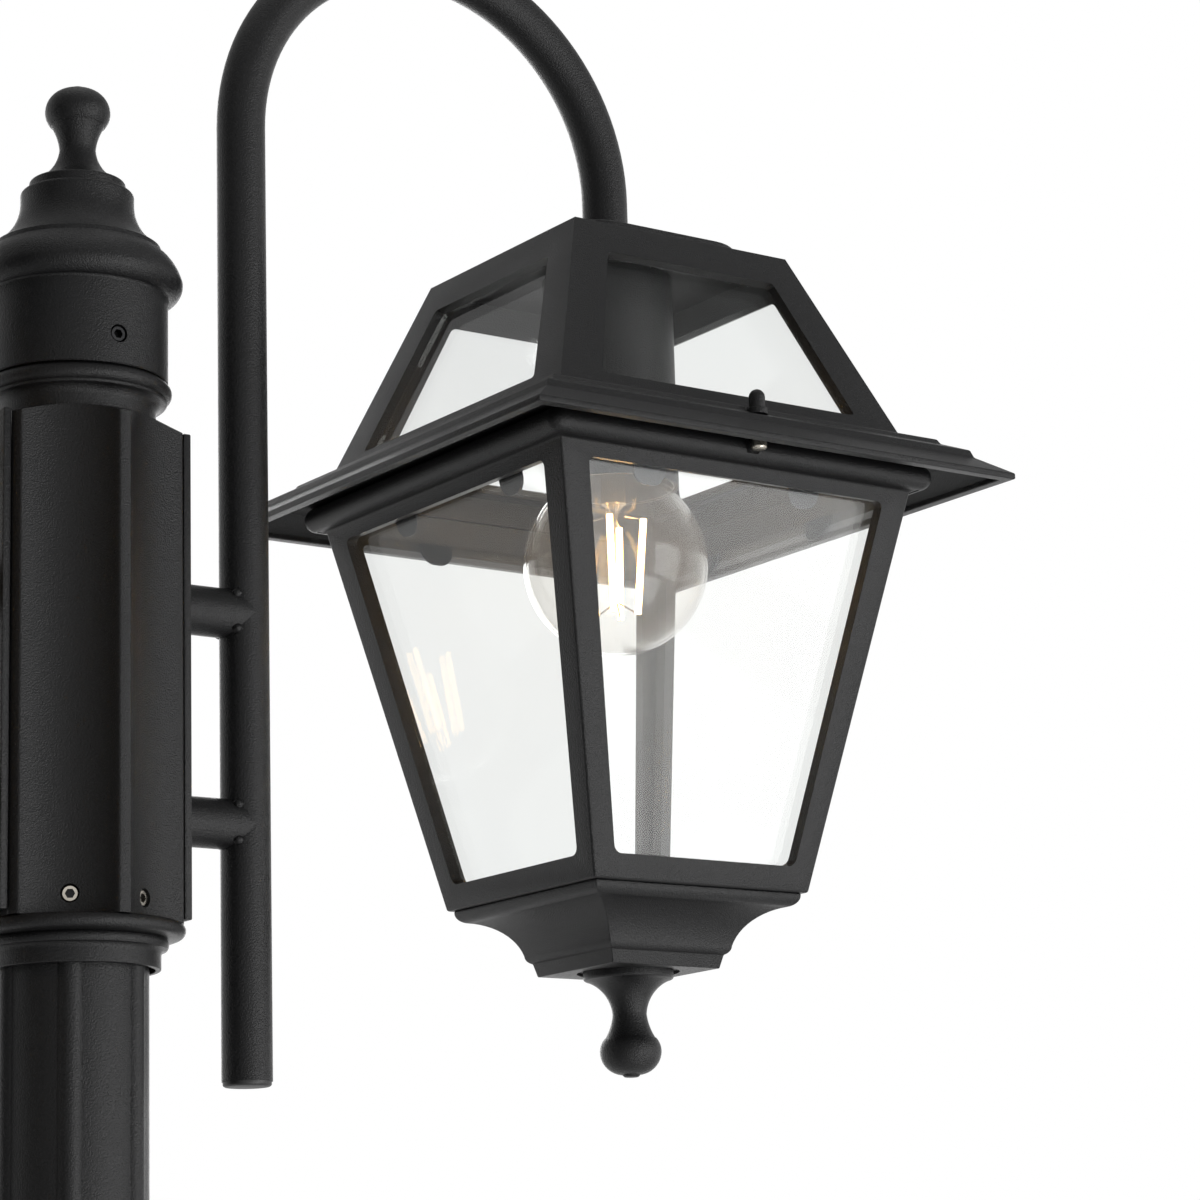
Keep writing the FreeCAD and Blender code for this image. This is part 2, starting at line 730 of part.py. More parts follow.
def base_cup():
    """Cast cup below the cage, with a cove to its small fascia and a recess for the finial."""
    lip_bottom = cage_foot - cup_lip
    cove_foot = cup_cove_bottom + cup_fascia_step
    body = mitred(
        (0, cup_bottom), (cup_fascia_half - cup_fascia_draft, cup_bottom), (cup_fascia_half, cup_cove_bottom),
        (cup_cove_half, cove_foot), (cup_lip_half - cup_lip, lip_bottom, cup_cove_bow),
        (cup_lip_half, cage_foot, -cup_lip_bow), (cup_lip_half - cup_wall * 2, cage_foot),
        (cup_cove_half - cup_wall, cove_foot + cup_wall, -cup_cove_bow),
        (cup_fascia_half - cup_wall, cup_bottom + cup_wall), (0, cup_bottom + cup_wall))
    recess = rod(cup_recess_radius, V(0, 0, cup_bottom), V(0, 0, cup_bottom + cup_recess))
    stud_hole = rod(finial_stud_radius + slip, V(0, 0, cup_bottom), V(0, 0, cup_bottom + cup_wall))
    return body.cut([recess, stud_hole])


def drop_finial():
    """Finial that hangs from the cup."""
    drop = finial()
    drop.rotate(V(0, 0, 0), V(1, 0, 0), 180)
    drop.translate(V(0, 0, cup_bottom + cup_recess))
    return drop


def brim_steps():
    """Corners of the two steps on the brim's upper side, from the lip inwards."""
    lower_foot = (brim_half - brim_slope_run, brim_lip + brim_slope_rise)
    lower_top = (lower_foot[0] - brim_step_draft, lower_foot[1] + brim_lower_step)
    upper_foot = (lower_top[0] - brim_flat_run, lower_top[1] + brim_flat_rise)
    upper_top = (upper_foot[0] - brim_step_draft, upper_foot[1] + brim_upper_step)
    return lower_foot, lower_top, upper_foot, upper_top


def nut_seat():
    """Height of the spot face for a cap nut, level with the brim's flat at the screw's outer side."""
    outer, inner = brim_steps()[1:3]
    share = (outer[0] - cage_screw_reach - cage_screw_radius) / brim_flat_run
    return outer[1] + share * (inner[1] - outer[1])


def cage_screws():
    """Two screws from the crown's notches up through the brim."""
    screws = []
    head_top = brim_seat_height - lug_thick
    for side in (-1, 1):
        foot = V(0, side * cage_screw_reach, head_top - cage_screw_head_height)
        head = rod(cage_screw_head_radius, foot, foot + V(0, 0, cage_screw_head_height))
        shank = rod(cage_screw_radius, foot, V(0, side * cage_screw_reach, nut_seat() + cap_nut_height / 2))
        screws.append(head.fuse(shank).removeSplitter())
    return group(screws)


def cap_nuts():
    """Domed nuts on top of the brim."""
    nuts = []
    base = nut_seat()
    flange_top = base + cap_nut_flange_height
    straight = base + cap_nut_height - cap_nut_radius
    bore = cage_screw_radius + slip
    for side in (-1, 1):
        nut = turned((bore, base), (cap_nut_flange_radius, base), (cap_nut_flange_radius, flange_top),
                     (cap_nut_radius, flange_top), (cap_nut_radius, straight),
                     (0, base + cap_nut_height, -cap_nut_radius * bow_of(math.pi / 2)),
                     (0, straight), (bore, straight))
        nut.translate(V(0, side * cage_screw_reach, 0))
        nuts.append(nut)
    return group(nuts)


def arm_nut():
    """Hexagon nut on the bracket tube, under the roof's top plate."""
    nut = hexagon(arm_nut_across / 2 / math.cos(math.pi / 6), arm_nut_thick)
    nut = nut.cut(rod(tube_radius + slip, V(0, 0, 0), V(0, 0, arm_nut_thick)))
    nut.translate(V(0, 0, roof_top - roof_wall - arm_nut_thick))
    return nut


def holder_sleeve():
    """Turned sleeve that hides the lampholder."""
    inner = sleeve_radius - sleeve_wall
    return turned((inner, sleeve_bottom), (sleeve_radius, sleeve_bottom), (sleeve_radius, roof_top - roof_wall),
                  (inner, roof_top - roof_wall))


def lampholder():
    """Moulded screw holder on the end of the bracket tube."""
    socket = screw_cap_radius + slip
    top = arm_end()
    return turned((socket, holder_bottom), (holder_radius, holder_bottom),
                  (holder_radius, top - holder_top_wall),
                  (holder_radius - holder_shoulder, top, -holder_shoulder_bow), (0, top),
                  (0, screw_cap_top + contact_height),
                  (socket, screw_cap_top + contact_height))


def bulb_glass():
    """Clear bulb, open at its neck."""
    angle = math.radians(bulb_shoulder_angle)
    skins = []
    for inset in (0.0, bulb_wall):
        radius = bulb_radius - inset
        neck = bulb_neck_radius - inset
        skins.append(turned(
            (0, bulb_centre - radius), (radius, bulb_centre, -radius * bow_of(math.pi / 2)),
            (radius * math.cos(angle), bulb_centre + radius * math.sin(angle), -radius * bow_of(angle)),
            (neck, bulb_neck_top, bulb_neck_bow), (0, bulb_neck_top)))
    return skins[0].cut(skins[1])


def bow_of(angle):
    """Rise of an arc of unit radius over its chord."""
    return 1 - math.cos(angle / 2)


def bulb_cap():
    """Screw cap of the bulb with its end contact."""
    tip = screw_cap_top + contact_height - slip
    return turned((0, bulb_neck_top), (screw_cap_radius, bulb_neck_top),
                  (screw_cap_radius, screw_cap_top - screw_cap_shoulder),
                  (contact_radius, screw_cap_top, -screw_cap_bow), (contact_radius, tip), (0, tip))


def bulb_stem():
    """Glass stem inside the bulb, with the thin rod that carries the filaments."""
    flare = bulb_neck_radius - bulb_wall - slip
    return turned((0, stem_rod_bottom), (stem_rod_radius, stem_rod_bottom), (stem_rod_radius, stem_bottom),
                  (stem_radius, stem_bottom + stem_radius), (stem_radius, bulb_neck_top - flare),
                  (flare, bulb_neck_top, stem_flare_bow), (0, bulb_neck_top))


def bulb_filaments():
    """Straight light-emitting filaments that lean out from the stem."""
    filaments = []
    for number in range(filament_count):
        turn = math.radians(filament_turn + 360.0 * number / filament_count)
        out = V(math.cos(turn), math.sin(turn), 0)
        head = out * filament_top_circle + V(0, 0, filament_top)
        foot = out * filament_bottom_circle + V(0, 0, filament_bottom)
        filaments.append(rod(filament_radius, foot, head))
    return group(filaments)


def lantern():
    """All pieces of one lantern about its own axis."""
    pieces = {
        "lantern_roof": lantern_roof(),
        "lantern_cage": lantern_cage(),
        "base_cup": base_cup(),
        "drop_finial": drop_finial(),
        "holder_sleeve": holder_sleeve(),
        "lampholder": lampholder(),
        "bulb_glass": bulb_glass(),
        "bulb_cap": bulb_cap(),
        "bulb_stem": bulb_stem(),
        "bulb_filaments": bulb_filaments(),
        "cage_screws": cage_screws(),
        "cap_nuts": cap_nuts(),
        "pane_clips": pane_clips(),
        "arm_nut": arm_nut(),
    }
    roof_pane = pane(roof_slope, roof_opening_foot, roof_opening_top, roof_bar_foot, roof_bar_top, roof_wall)
    cage_pane = pane(cage_slope, cage_opening_foot, cage_opening_top, cage_bar_foot, cage_bar_top, cage_wall)
    for kind, plate in (("roof_pane", roof_pane), ("cage_pane", cage_pane)):
        for number, turn in enumerate(quarter_turns(plate), 1):
            pieces[f"{kind}_{number}"] = turn
    return pieces


def head():
    """Every piece above the pole, from the brim's lower edge."""
    pieces = {
        "hub": hub(),
        "post_cap": post_cap(),
        "post_finial": finial(),
        "pole_spigot": pole_spigot(),
        "hub_set_screws": group(hub_set_screws()),
        "cap_grub_screw": grub_screw(cap_skirt_radius - grub_recess, hub_spigot_radius, cap_screw_height,
                                     cap_screw_turn),
        "terminal_block": terminal_block(),
        "plate_screws": plate_screws(),
    }
    pieces["post_finial"].translate(V(0, 0, cap_top))
    one_lantern = lantern()
    one_bracket = {"bracket": bracket(), "tube_plug": tube_plug()}
    for side, turn in (("right", 0), ("left", 180)):
        for name, shape in one_lantern.items():
            copy = shape.copy()
            copy.translate(V(lantern_reach, 0, 0))
            copy.rotate(V(0, 0, 0), V(0, 0, 1), turn)
            pieces[f"{name}_{side}"] = copy
        for name, shape in one_bracket.items():
            copy = shape.copy()
            copy.rotate(V(0, 0, 0), V(0, 0, 1), turn)
            pieces[f"{name}_{side}"] = copy
    for shape in pieces.values():
        shape.translate(V(0, 0, brim_height))
    return pieces


def build():
    """All pieces of the lamp post by name."""
    pieces = {
        "post_base": post_base(),
        "pole": pole(),
        "base_set_screws": group(base_set_screws()),
    }
    pieces.update(head())
    return pieces


os.makedirs("parts", exist_ok=True)
for piece_name, piece_shape in build().items():
    piece_shape.exportStep(f"parts/{piece_name}.step")
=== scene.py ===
"""Looks of a two-light garden lamp post: each visible piece is remodelled over its solid and every surface finished.

Sizes are in millimetres. Heights of the head are measured from the lower edge of the lantern's brim, heights of the
pole and its base from the ground. Meshes are brought to metres when a piece is put in the scene.
"""
import logging
import math
from abc import ABC, abstractmethod
from dataclasses import dataclass
from enum import Enum
from typing import Iterable

import bmesh
import bpy
from mathutils import Matrix, Vector


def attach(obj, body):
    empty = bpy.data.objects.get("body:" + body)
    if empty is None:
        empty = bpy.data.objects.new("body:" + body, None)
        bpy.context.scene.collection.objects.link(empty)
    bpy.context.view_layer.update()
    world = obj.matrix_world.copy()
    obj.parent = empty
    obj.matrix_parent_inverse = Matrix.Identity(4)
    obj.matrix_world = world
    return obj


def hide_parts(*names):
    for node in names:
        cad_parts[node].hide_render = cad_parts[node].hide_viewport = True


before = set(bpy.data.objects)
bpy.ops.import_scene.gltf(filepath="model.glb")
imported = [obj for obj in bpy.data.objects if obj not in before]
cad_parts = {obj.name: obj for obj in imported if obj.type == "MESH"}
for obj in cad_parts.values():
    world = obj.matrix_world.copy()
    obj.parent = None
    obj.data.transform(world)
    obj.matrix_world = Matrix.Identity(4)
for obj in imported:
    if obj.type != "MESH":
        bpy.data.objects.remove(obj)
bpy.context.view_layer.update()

LOG = logging.getLogger("lamp_post")
MILLIMETRE = 0.001
MERGE = 1e-4
BRIM_HEIGHT = 1800.0
LANTERN_REACH = 194.0
# The cage's seat in the roof, and the two screws that hold it there.
SEAT_HEIGHT = 6.6
OPENING_HALF = 60.0
SCREW_REACH = 77.0
SCREW_RADIUS = 1.6
AXIS_Z = Vector((0.0, 0.0, 1.0))
HEAD = Matrix.Translation(AXIS_Z * BRIM_HEIGHT)
CORNER_PARTS = 8
SHARP_BEND = math.radians(32.0)
SOFT_BEND = math.radians(40.0)
MITRE_BEND = math.radians(20.0)
RIM_BEND = math.radians(60.0)
ALIGNED = 0.99
DIAGONAL_SLACK = 0.01

Step = tuple[float, ...]
Triple = tuple[float, float, float]
Colour = tuple[float, float, float, float]
Edges = list[bmesh.types.BMEdge]
Socket = bpy.types.NodeSocket
WHITE: Colour = (1.0, 1.0, 1.0, 1.0)


def put(name: str, data: bpy.types.ID) -> bpy.types.Object:
    """Make an object and link it to the scene.

    Args:
        name: the object's name.
        data: its mesh, light or camera.

    Returns:
        The object.
    """
    item = bpy.data.objects.new(name, data)
    bpy.context.scene.collection.objects.link(item)
    return item


def spread(reach: float) -> tuple[Vector, Vector]:
    """Two points on the Y axis at equal distances from the origin."""
    return Vector((0.0, -reach, 0.0)), Vector((0.0, reach, 0.0))


class Side(Enum):
    """The two sides of the post, by their turn about its axis."""

    RIGHT = 0.0
    LEFT = math.pi

    @property
    def word(self) -> str:
        """The side's name as it ends a node's name."""
        return self.name.lower()

    def place(self, reach: float) -> Matrix:
        """Transform from a piece's own axis to the head of the post.

        Args:
            reach: distance of the piece's axis from the post's axis.

        Returns:
            The transform in millimetres.
        """
        return Matrix.Rotation(self.value, 4, "Z") @ Matrix.Translation((reach, 0.0, BRIM_HEIGHT))


class Slot(Enum):
    """Material slots of the record."""

    COAT = "black_powder_coat"
    PLASTIC = "black_plastic"
    PALE = "pale_plastic"
    STEEL = "steel"
    DARK = "dark_steel"
    ZINC = "zinc_steel"
    NICKEL = "nickel"
    PANE = "pane_glass"
    BULB = "bulb_clear"
    STEM = "stem_clear"
    FILAMENT = "warm_filament"


class Signal:
    """A number on a node's socket; arithmetic on it adds Math nodes."""

    def __init__(self, graph: "Graph", socket: Socket) -> None:
        """Keep the graph and the socket."""
        self.graph = graph
        self.socket = socket

    def math(self, operation: str, first: object, second: object) -> "Signal":
        """Join two values in a Math node.

        Args:
            operation: the Math node's operation.
            first: number or signal on the first socket.
            second: number or signal on the second socket.

        Returns:
            The node's result.
        """
        node = self.graph.node("ShaderNodeMath", {0: first, 1: second}, operation=operation)
        return Signal(self.graph, node.outputs[0])

    def __add__(self, other: object) -> "Signal":
        """Sum."""
        return self.math("ADD", self, other)

    def __radd__(self, other: object) -> "Signal":
        """Reflected sum."""
        return self.math("ADD", other, self)

    def __sub__(self, other: object) -> "Signal":
        """Difference."""
        return self.math("SUBTRACT", self, other)

    def __rsub__(self, other: object) -> "Signal":
        """Reflected difference."""
        return self.math("SUBTRACT", other, self)

    def __mul__(self, other: object) -> "Signal":
        """Product."""
        return self.math("MULTIPLY", self, other)

    def __rmul__(self, other: object) -> "Signal":
        """Reflected product."""
        return self.math("MULTIPLY", other, self)

    def __pow__(self, other: object) -> "Signal":
        """Power."""
        return self.math("POWER", self, other)

    def larger(self, other: object) -> "Signal":
        """The larger of two values."""
        return self.math("MAXIMUM", self, other)

    def below(self, limit: float) -> "Signal":
        """One where the value is under a limit."""
        return self.math("LESS_THAN", self, limit)


class Graph:
    """The node tree of a material or of the world, filled node by node."""

    def __init__(self, tree: bpy.types.NodeTree) -> None:
        """Start from an empty tree."""
        self.tree = tree
        tree.nodes.clear()

    def node(self, kind: str, inputs: dict[object, object] | None = None, **settings: str) -> bpy.types.Node:
        """Add a node.

        Args:
            kind: the node's type.
            inputs: numbers, colours, signals or sockets by socket name or number.
            settings: its own properties, set first.

        Returns:
            The node.
        """
        node = self.tree.nodes.new(kind)
        for name, value in settings.items():
            setattr(node, name, value)
        for key, value in (inputs or {}).items():
            source = value.socket if isinstance(value, Signal) else value
            if isinstance(source, Socket):
                self.tree.links.new(source, node.inputs[key])
            else:
                node.inputs[key].default_value = source
        return node

    def position(self) -> Socket:
        """Place on the piece, in metres."""
        return self.node("ShaderNodeTexCoord").outputs["Object"]

    def ray(self, kind: str) -> Signal:
        """One for rays of a kind: Camera, Glossy or Transmission."""
        return Signal(self, self.node("ShaderNodeLightPath").outputs[f"Is {kind} Ray"])

    def seen(self, shine: Signal) -> Signal:
        """One for rays from the eye and through glass, and a given value for what gloss mirrors."""
        return self.ray("Camera").larger(self.ray("Transmission")).larger(shine)

    def noise(self, scale: float, detail: float = 2.0, roughness: float = 0.5) -> Signal:
        """Cloudy value around one half.

        Args:
            scale: features in a metre.
            detail: number of finer layers.
            roughness: weight of the finer layers.

        Returns:
            The value.
        """
        node = self.node("ShaderNodeTexNoise", {"Vector": self.position(), "Scale": scale, "Detail": detail,
                                                "Roughness": roughness})
        return Signal(self, node.outputs[0])

    def specks(self, scale: float, size: float, share: float) -> Signal:
        """One on a few small scattered spots.

        Args:
            scale: cells in a metre.
            size: radius of a spot in cells.
            share: share of the cells that hold a spot.

        Returns:
            The mask.
        """
        cells = self.node("ShaderNodeTexVoronoi", {"Vector": self.position(), "Scale": scale})
        parts = self.node("ShaderNodeSeparateColor", {0: cells.outputs["Color"]})
        return Signal(self, cells.outputs["Distance"]).below(size) * Signal(self, parts.outputs[0]).below(share)

    def ramp(self, value: Signal, low: float, high: float) -> Signal:
        """Smooth rise from zero to one.

        Args:
            value: the signal that drives it.
            low: value at which it starts to rise.
            high: value at which it is full.

        Returns:
            The rise.
        """
        node = self.node("ShaderNodeMapRange", {"Value": value, "From Min": low, "From Max": high},
                         interpolation_type="SMOOTHSTEP")
        return Signal(self, node.outputs[0])

    def blend(self, factor: Signal, low: Colour, high: object) -> Socket:
        """Mix two colours.

        Args:
            factor: zero for the first colour, one for the second.
            low: first colour or a colour socket.
            high: second colour or a colour socket.

        Returns:
            The mixed colour.
        """
        return self.node("ShaderNodeMix", {0: factor, 6: low, 7: high}, data_type="RGBA").outputs[2]

    def bump(self, height: Signal, distance: float, strength: float) -> Socket:
        """Surface normal raised by a height.

        Args:
            height: value from zero to one.
            distance: metres that one stands for.
            strength: weight of the effect.

        Returns:
            The normal.
        """
        return self.shader("Bump", {"Strength": strength, "Distance": distance, "Height": height})

    def shader(self, kind: str, inputs: dict[object, object]) -> Socket:
        """First output of a shader node, given the end of the node's type."""
        return self.node(f"ShaderNode{kind}", inputs).outputs[0]

    def principled(self, inputs: dict[object, object]) -> Socket:
        """General surface shader."""
        return self.shader("BsdfPrincipled", inputs)

    def mix(self, factor: Signal, first: Socket, second: Socket) -> Socket:
        """Mix of two shaders, with the second where the factor is one."""
        return self.shader("MixShader", {0: factor, 1: first, 2: second})


class Finish(ABC):
    """A surface finish that can make its material."""

    @abstractmethod
    def shader(self, graph: Graph) -> Socket:
        """Add the finish's nodes and return its shader."""

    def material(self, name: str) -> bpy.types.Material:
        """Make the finish's material.

        Args:
            name: the material's name.

        Returns:
            The material.
        """
        made = bpy.data.materials.new(name)
        made.use_nodes = True
        graph = Graph(made.node_tree)
        graph.node("ShaderNodeOutputMaterial", {"Surface": self.shader(graph)})
        return made


@dataclass(frozen=True)
class PowderCoat(Finish):
    """Black baked powder coat with a fine sandy texture, a soft sheen and a few specks of dust."""

    deep: Colour = (0.0030, 0.0030, 0.0033, 1.0)
    worn: Colour = (0.0150, 0.0152, 0.0160, 1.0)
    dust: Colour = (0.30, 0.29, 0.28, 1.0)
    roughness: float = 0.33
    roughness_spread: float = 0.18
    specular: float = 0.29
    grain_scale: float = 2100.0
    grain_weight: float = 0.6
    grain_depth: float = 0.00042
    grain_bump: float = 0.7
    grain_tone: float = 0.3
    cloud_tone: float = 0.1
    cloud_scale: float = 26.0
    dust_scale: float = 70.0
    dust_size: float = 0.022
    dust_share: float = 0.05

    def shader(self, graph: Graph) -> Socket:
        """Add the coat's nodes and return its shader."""
        grain = graph.noise(self.grain_scale, roughness=self.grain_weight)
        cloud = graph.noise(self.cloud_scale, 3.0)
        dust = graph.specks(self.dust_scale, self.dust_size, self.dust_share)
        tone = (grain * 2.0) ** 2.0 * self.grain_tone + cloud * self.cloud_tone
        colour = graph.blend(tone, self.deep, self.worn)
        roughness = self.roughness + (cloud - 0.5) * self.roughness_spread + (grain - 0.5) * self.roughness_spread
        return graph.principled({
            "Base Color": graph.blend(dust, colour, self.dust),
            "Roughness": roughness,
            "Specular IOR Level": self.specular,
            "Normal": graph.bump(grain, self.grain_depth, self.grain_bump),
        })


@dataclass(frozen=True)
class Moulding(Finish):
    """Moulded plastic with a faint mottle."""

    colour: Colour
    pale: Colour
    roughness: float = 0.48
    roughness_spread: float = 0.2
    cloud_scale: float = 90.0
    pore_scale: float = 1500.0
    pore_depth: float = 0.0001
    pore_bump: float = 0.4

    def shader(self, graph: Graph) -> Socket:
        """Add the plastic's nodes and return its shader."""
        cloud = graph.noise(self.cloud_scale, 3.0)
        pores = graph.noise(self.pore_scale, 1.0)
        return graph.principled({
            "Base Color": graph.blend(cloud, self.colour, self.pale),
            "Roughness": self.roughness + (cloud - 0.5) * self.roughness_spread,
            "Normal": graph.bump(pores, self.pore_depth, self.pore_bump),
        })


@dataclass(frozen=True)
class Metal(Finish):
    """Bare or plated metal with fine machining streaks."""

    colour: Colour
    dull: Colour
    roughness: float = 0.3
    roughness_spread: float = 0.25
    cloud_scale: float = 240.0
    streak_scale: float = 2600.0
    streak_depth: float = 0.00005
    streak_bump: float = 0.5

    def shader(self, graph: Graph) -> Socket:
        """Add the metal's nodes and return its shader."""
        cloud = graph.noise(self.cloud_scale, 4.0)
        streak = graph.noise(self.streak_scale, 1.0)
        return graph.principled({
            "Base Color": graph.blend(cloud, self.colour, self.dull),
            "Metallic": 1.0,
            "Roughness": self.roughness + (cloud - 0.5) * self.roughness_spread,
            "Normal": graph.bump(streak, self.streak_depth, self.streak_bump),
        })


@dataclass(frozen=True)
class ClearGlass(Finish):
    """Thin clear glass: light passes straight through, and the surface mirrors more at a low angle."""

    tint: Colour
    smudge: Colour
    straight_gloss: float = 0.04
    sharpness: float = 5.0
    smear: float = 0.02
    smear_scale: float = 35.0
    mirror_roughness: float = 0.015

    def shader(self, graph: Graph) -> Socket:
        """Add the glass's nodes and return its shader."""
        facing = graph.node("ShaderNodeLayerWeight", {"Blend": 0.5}).outputs["Facing"]
        gloss = self.straight_gloss + (1 - self.straight_gloss) * Signal(graph, facing) ** self.sharpness
        cloud = graph.noise(self.smear_scale, 4.0)
        clear = graph.shader("BsdfTransparent", {"Color": self.tint})
        mirror = graph.shader("BsdfGlossy", {"Color": WHITE, "Roughness": self.mirror_roughness})
        film = graph.shader("BsdfDiffuse", {"Color": self.smudge})
        return graph.mix(cloud * self.smear, graph.mix(gloss, clear, mirror), film)


@dataclass(frozen=True)
class Glow(Finish):
    """Phosphor coat that shines."""

    colour: Colour
    light: Colour
    dim: Colour
    strength: float
    roughness: float = 0.6
    cloud_scale: float = 500.0

    def shader(self, graph: Graph) -> Socket:
        """Add the phosphor's nodes and return its shader."""
        cloud = graph.noise(self.cloud_scale)
        return graph.principled({
            "Base Color": self.colour,
            "Roughness": self.roughness,
            "Emission Color": graph.blend(cloud, self.dim, self.light),
            "Emission Strength": self.strength,
        })


@dataclass(frozen=True)
class FloorPaint(Finish):
    """Plain pale paint, lifted towards white where it is seen or mirrored, that keeps the post's shadow."""

    colour: Colour = (0.80, 0.80, 0.79, 1.0)
    roughness: float = 0.9
    lift: float = 0.6

    def shader(self, graph: Graph) -> Socket:
        """Add the paint's nodes and return its shader."""
        paint = graph.principled({"Base Color": self.colour, "Roughness": self.roughness})
        white = graph.shader("Emission", {"Color": WHITE, "Strength": 1.0})
        return graph.mix(graph.seen(graph.ray("Glossy")) * self.lift, paint, white)


FINISHES: dict[Slot, Finish] = {
    Slot.COAT: PowderCoat(),
    Slot.PLASTIC: Moulding((0.012, 0.012, 0.012, 1.0), (0.022, 0.022, 0.022, 1.0)),
    Slot.PALE: Moulding((0.62, 0.60, 0.55, 1.0), (0.72, 0.70, 0.66, 1.0), 0.4),
    Slot.STEEL: Metal((0.58, 0.54, 0.47, 1.0), (0.36, 0.33, 0.29, 1.0), 0.28),
    Slot.DARK: Metal((0.020, 0.020, 0.021, 1.0), (0.040, 0.040, 0.041, 1.0), 0.45),
    Slot.ZINC: Metal((0.60, 0.60, 0.57, 1.0), (0.38, 0.39, 0.38, 1.0), 0.36),
    Slot.NICKEL: Metal((0.68, 0.64, 0.58, 1.0), (0.52, 0.49, 0.44, 1.0), 0.22),
    Slot.PANE: ClearGlass((0.972, 0.977, 0.974, 1.0), (0.75, 0.78, 0.76, 1.0), 0.022, 5.0, 0.012),
    Slot.BULB: ClearGlass((0.985, 0.984, 0.978, 1.0), (0.8, 0.78, 0.72, 1.0), 0.018, 4.6, 0.006),
    Slot.STEM: ClearGlass((0.93, 0.93, 0.90, 1.0), (0.8, 0.8, 0.78, 1.0), 0.06, 3.0, 0.05),
    Slot.FILAMENT: Glow((0.9, 0.6, 0.2, 1.0), (1.0, 0.70, 0.34, 1.0), (1.0, 0.58, 0.22, 1.0), 9.0),
}


def bowed(steps: Iterable[Step], parts: int = 6) -> list[Vector]:
    """Points of an outline in its own plane.

    Args:
        steps: (a, b) for a straight run to a point or (a, b, bow) for an arc that bulges to the left by the bow.
        parts: straight pieces in an arc.

    Returns:
        The points as two-dimensional vectors.
    """
    points: list[Vector] = []
    for step in steps:
        end = Vector(step[:2])
        if points and len(step) == 3 and step[2]:
            start = points[-1]
            run = end - start
            left = Vector((-run.y, run.x)).normalized()
            radius = (run.length_squared / 4 + step[2] ** 2) / (2 * step[2])
            centre = (start + end) / 2 + left * (step[2] - radius)
            sweep = -4 * math.atan(2 * step[2] / run.length)
            arm = start - centre
            for part in range(1, parts):
                turn = Matrix.Rotation(sweep * part / parts, 2)
                points.append(centre + turn @ arm)
        points.append(end)
    return points


def bow_of(angle: float) -> float:
    """Rise of an arc of unit radius over its chord."""
    return 1 - math.cos(angle / 2)


QUARTER = bow_of(math.pi / 2)


def eased(points: Iterable[Step], ease: float) -> list[Step]:
    """Outline through corners with each inner corner rounded.

    Args:
        points: the corners in order; the first and the last stay sharp.
        ease: how far a rounding reaches from its corner.

    Returns:
        The outline's steps.
    """
    corners = [Vector(point) for point in points]
    steps: list[Step] = [tuple(corners[0])]
    for last, here, after in zip(corners, corners[1:], corners[2:]):
        back = (last - here).normalized()
        onward = (after - here).normalized()
        half_turn = (math.pi - back.angle(onward)) / 2
        side = math.copysign(1.0, back.x * onward.y - back.y * onward.x)
        steps.append(tuple(here + back * ease))
        steps.append((*(here + onward * ease), side * ease * math.cos(half_turn) * math.tan(half_turn / 2)))
    steps.append(tuple(corners[-1]))
    return steps


@dataclass(frozen=True)
class Slope:
    """A slanted side of a four-sided casting, given at its foot and head."""

    foot_half: float
    foot: float
    head_half: float
    head: float

    def half(self, height: float) -> float:
        """Half width at a height."""
        share = (height - self.foot) / (self.head - self.foot)
        return self.foot_half + share * (self.head_half - self.foot_half)

    @property
    def normal(self) -> Vector:
        """Outward direction of the side on +X."""
        return Vector((self.head - self.foot, 0.0, self.foot_half - self.head_half)).normalized()

    @property
    def shift(self) -> float:
        """Horizontal run through a wall of unit thickness."""
        return 1 / self.normal.x


@dataclass(frozen=True)
class Window:
    """An opening in a slanted side, with its margins to the side's corners."""

    foot: float
    head: float
    foot_bar: float
    head_bar: float
    corner: float


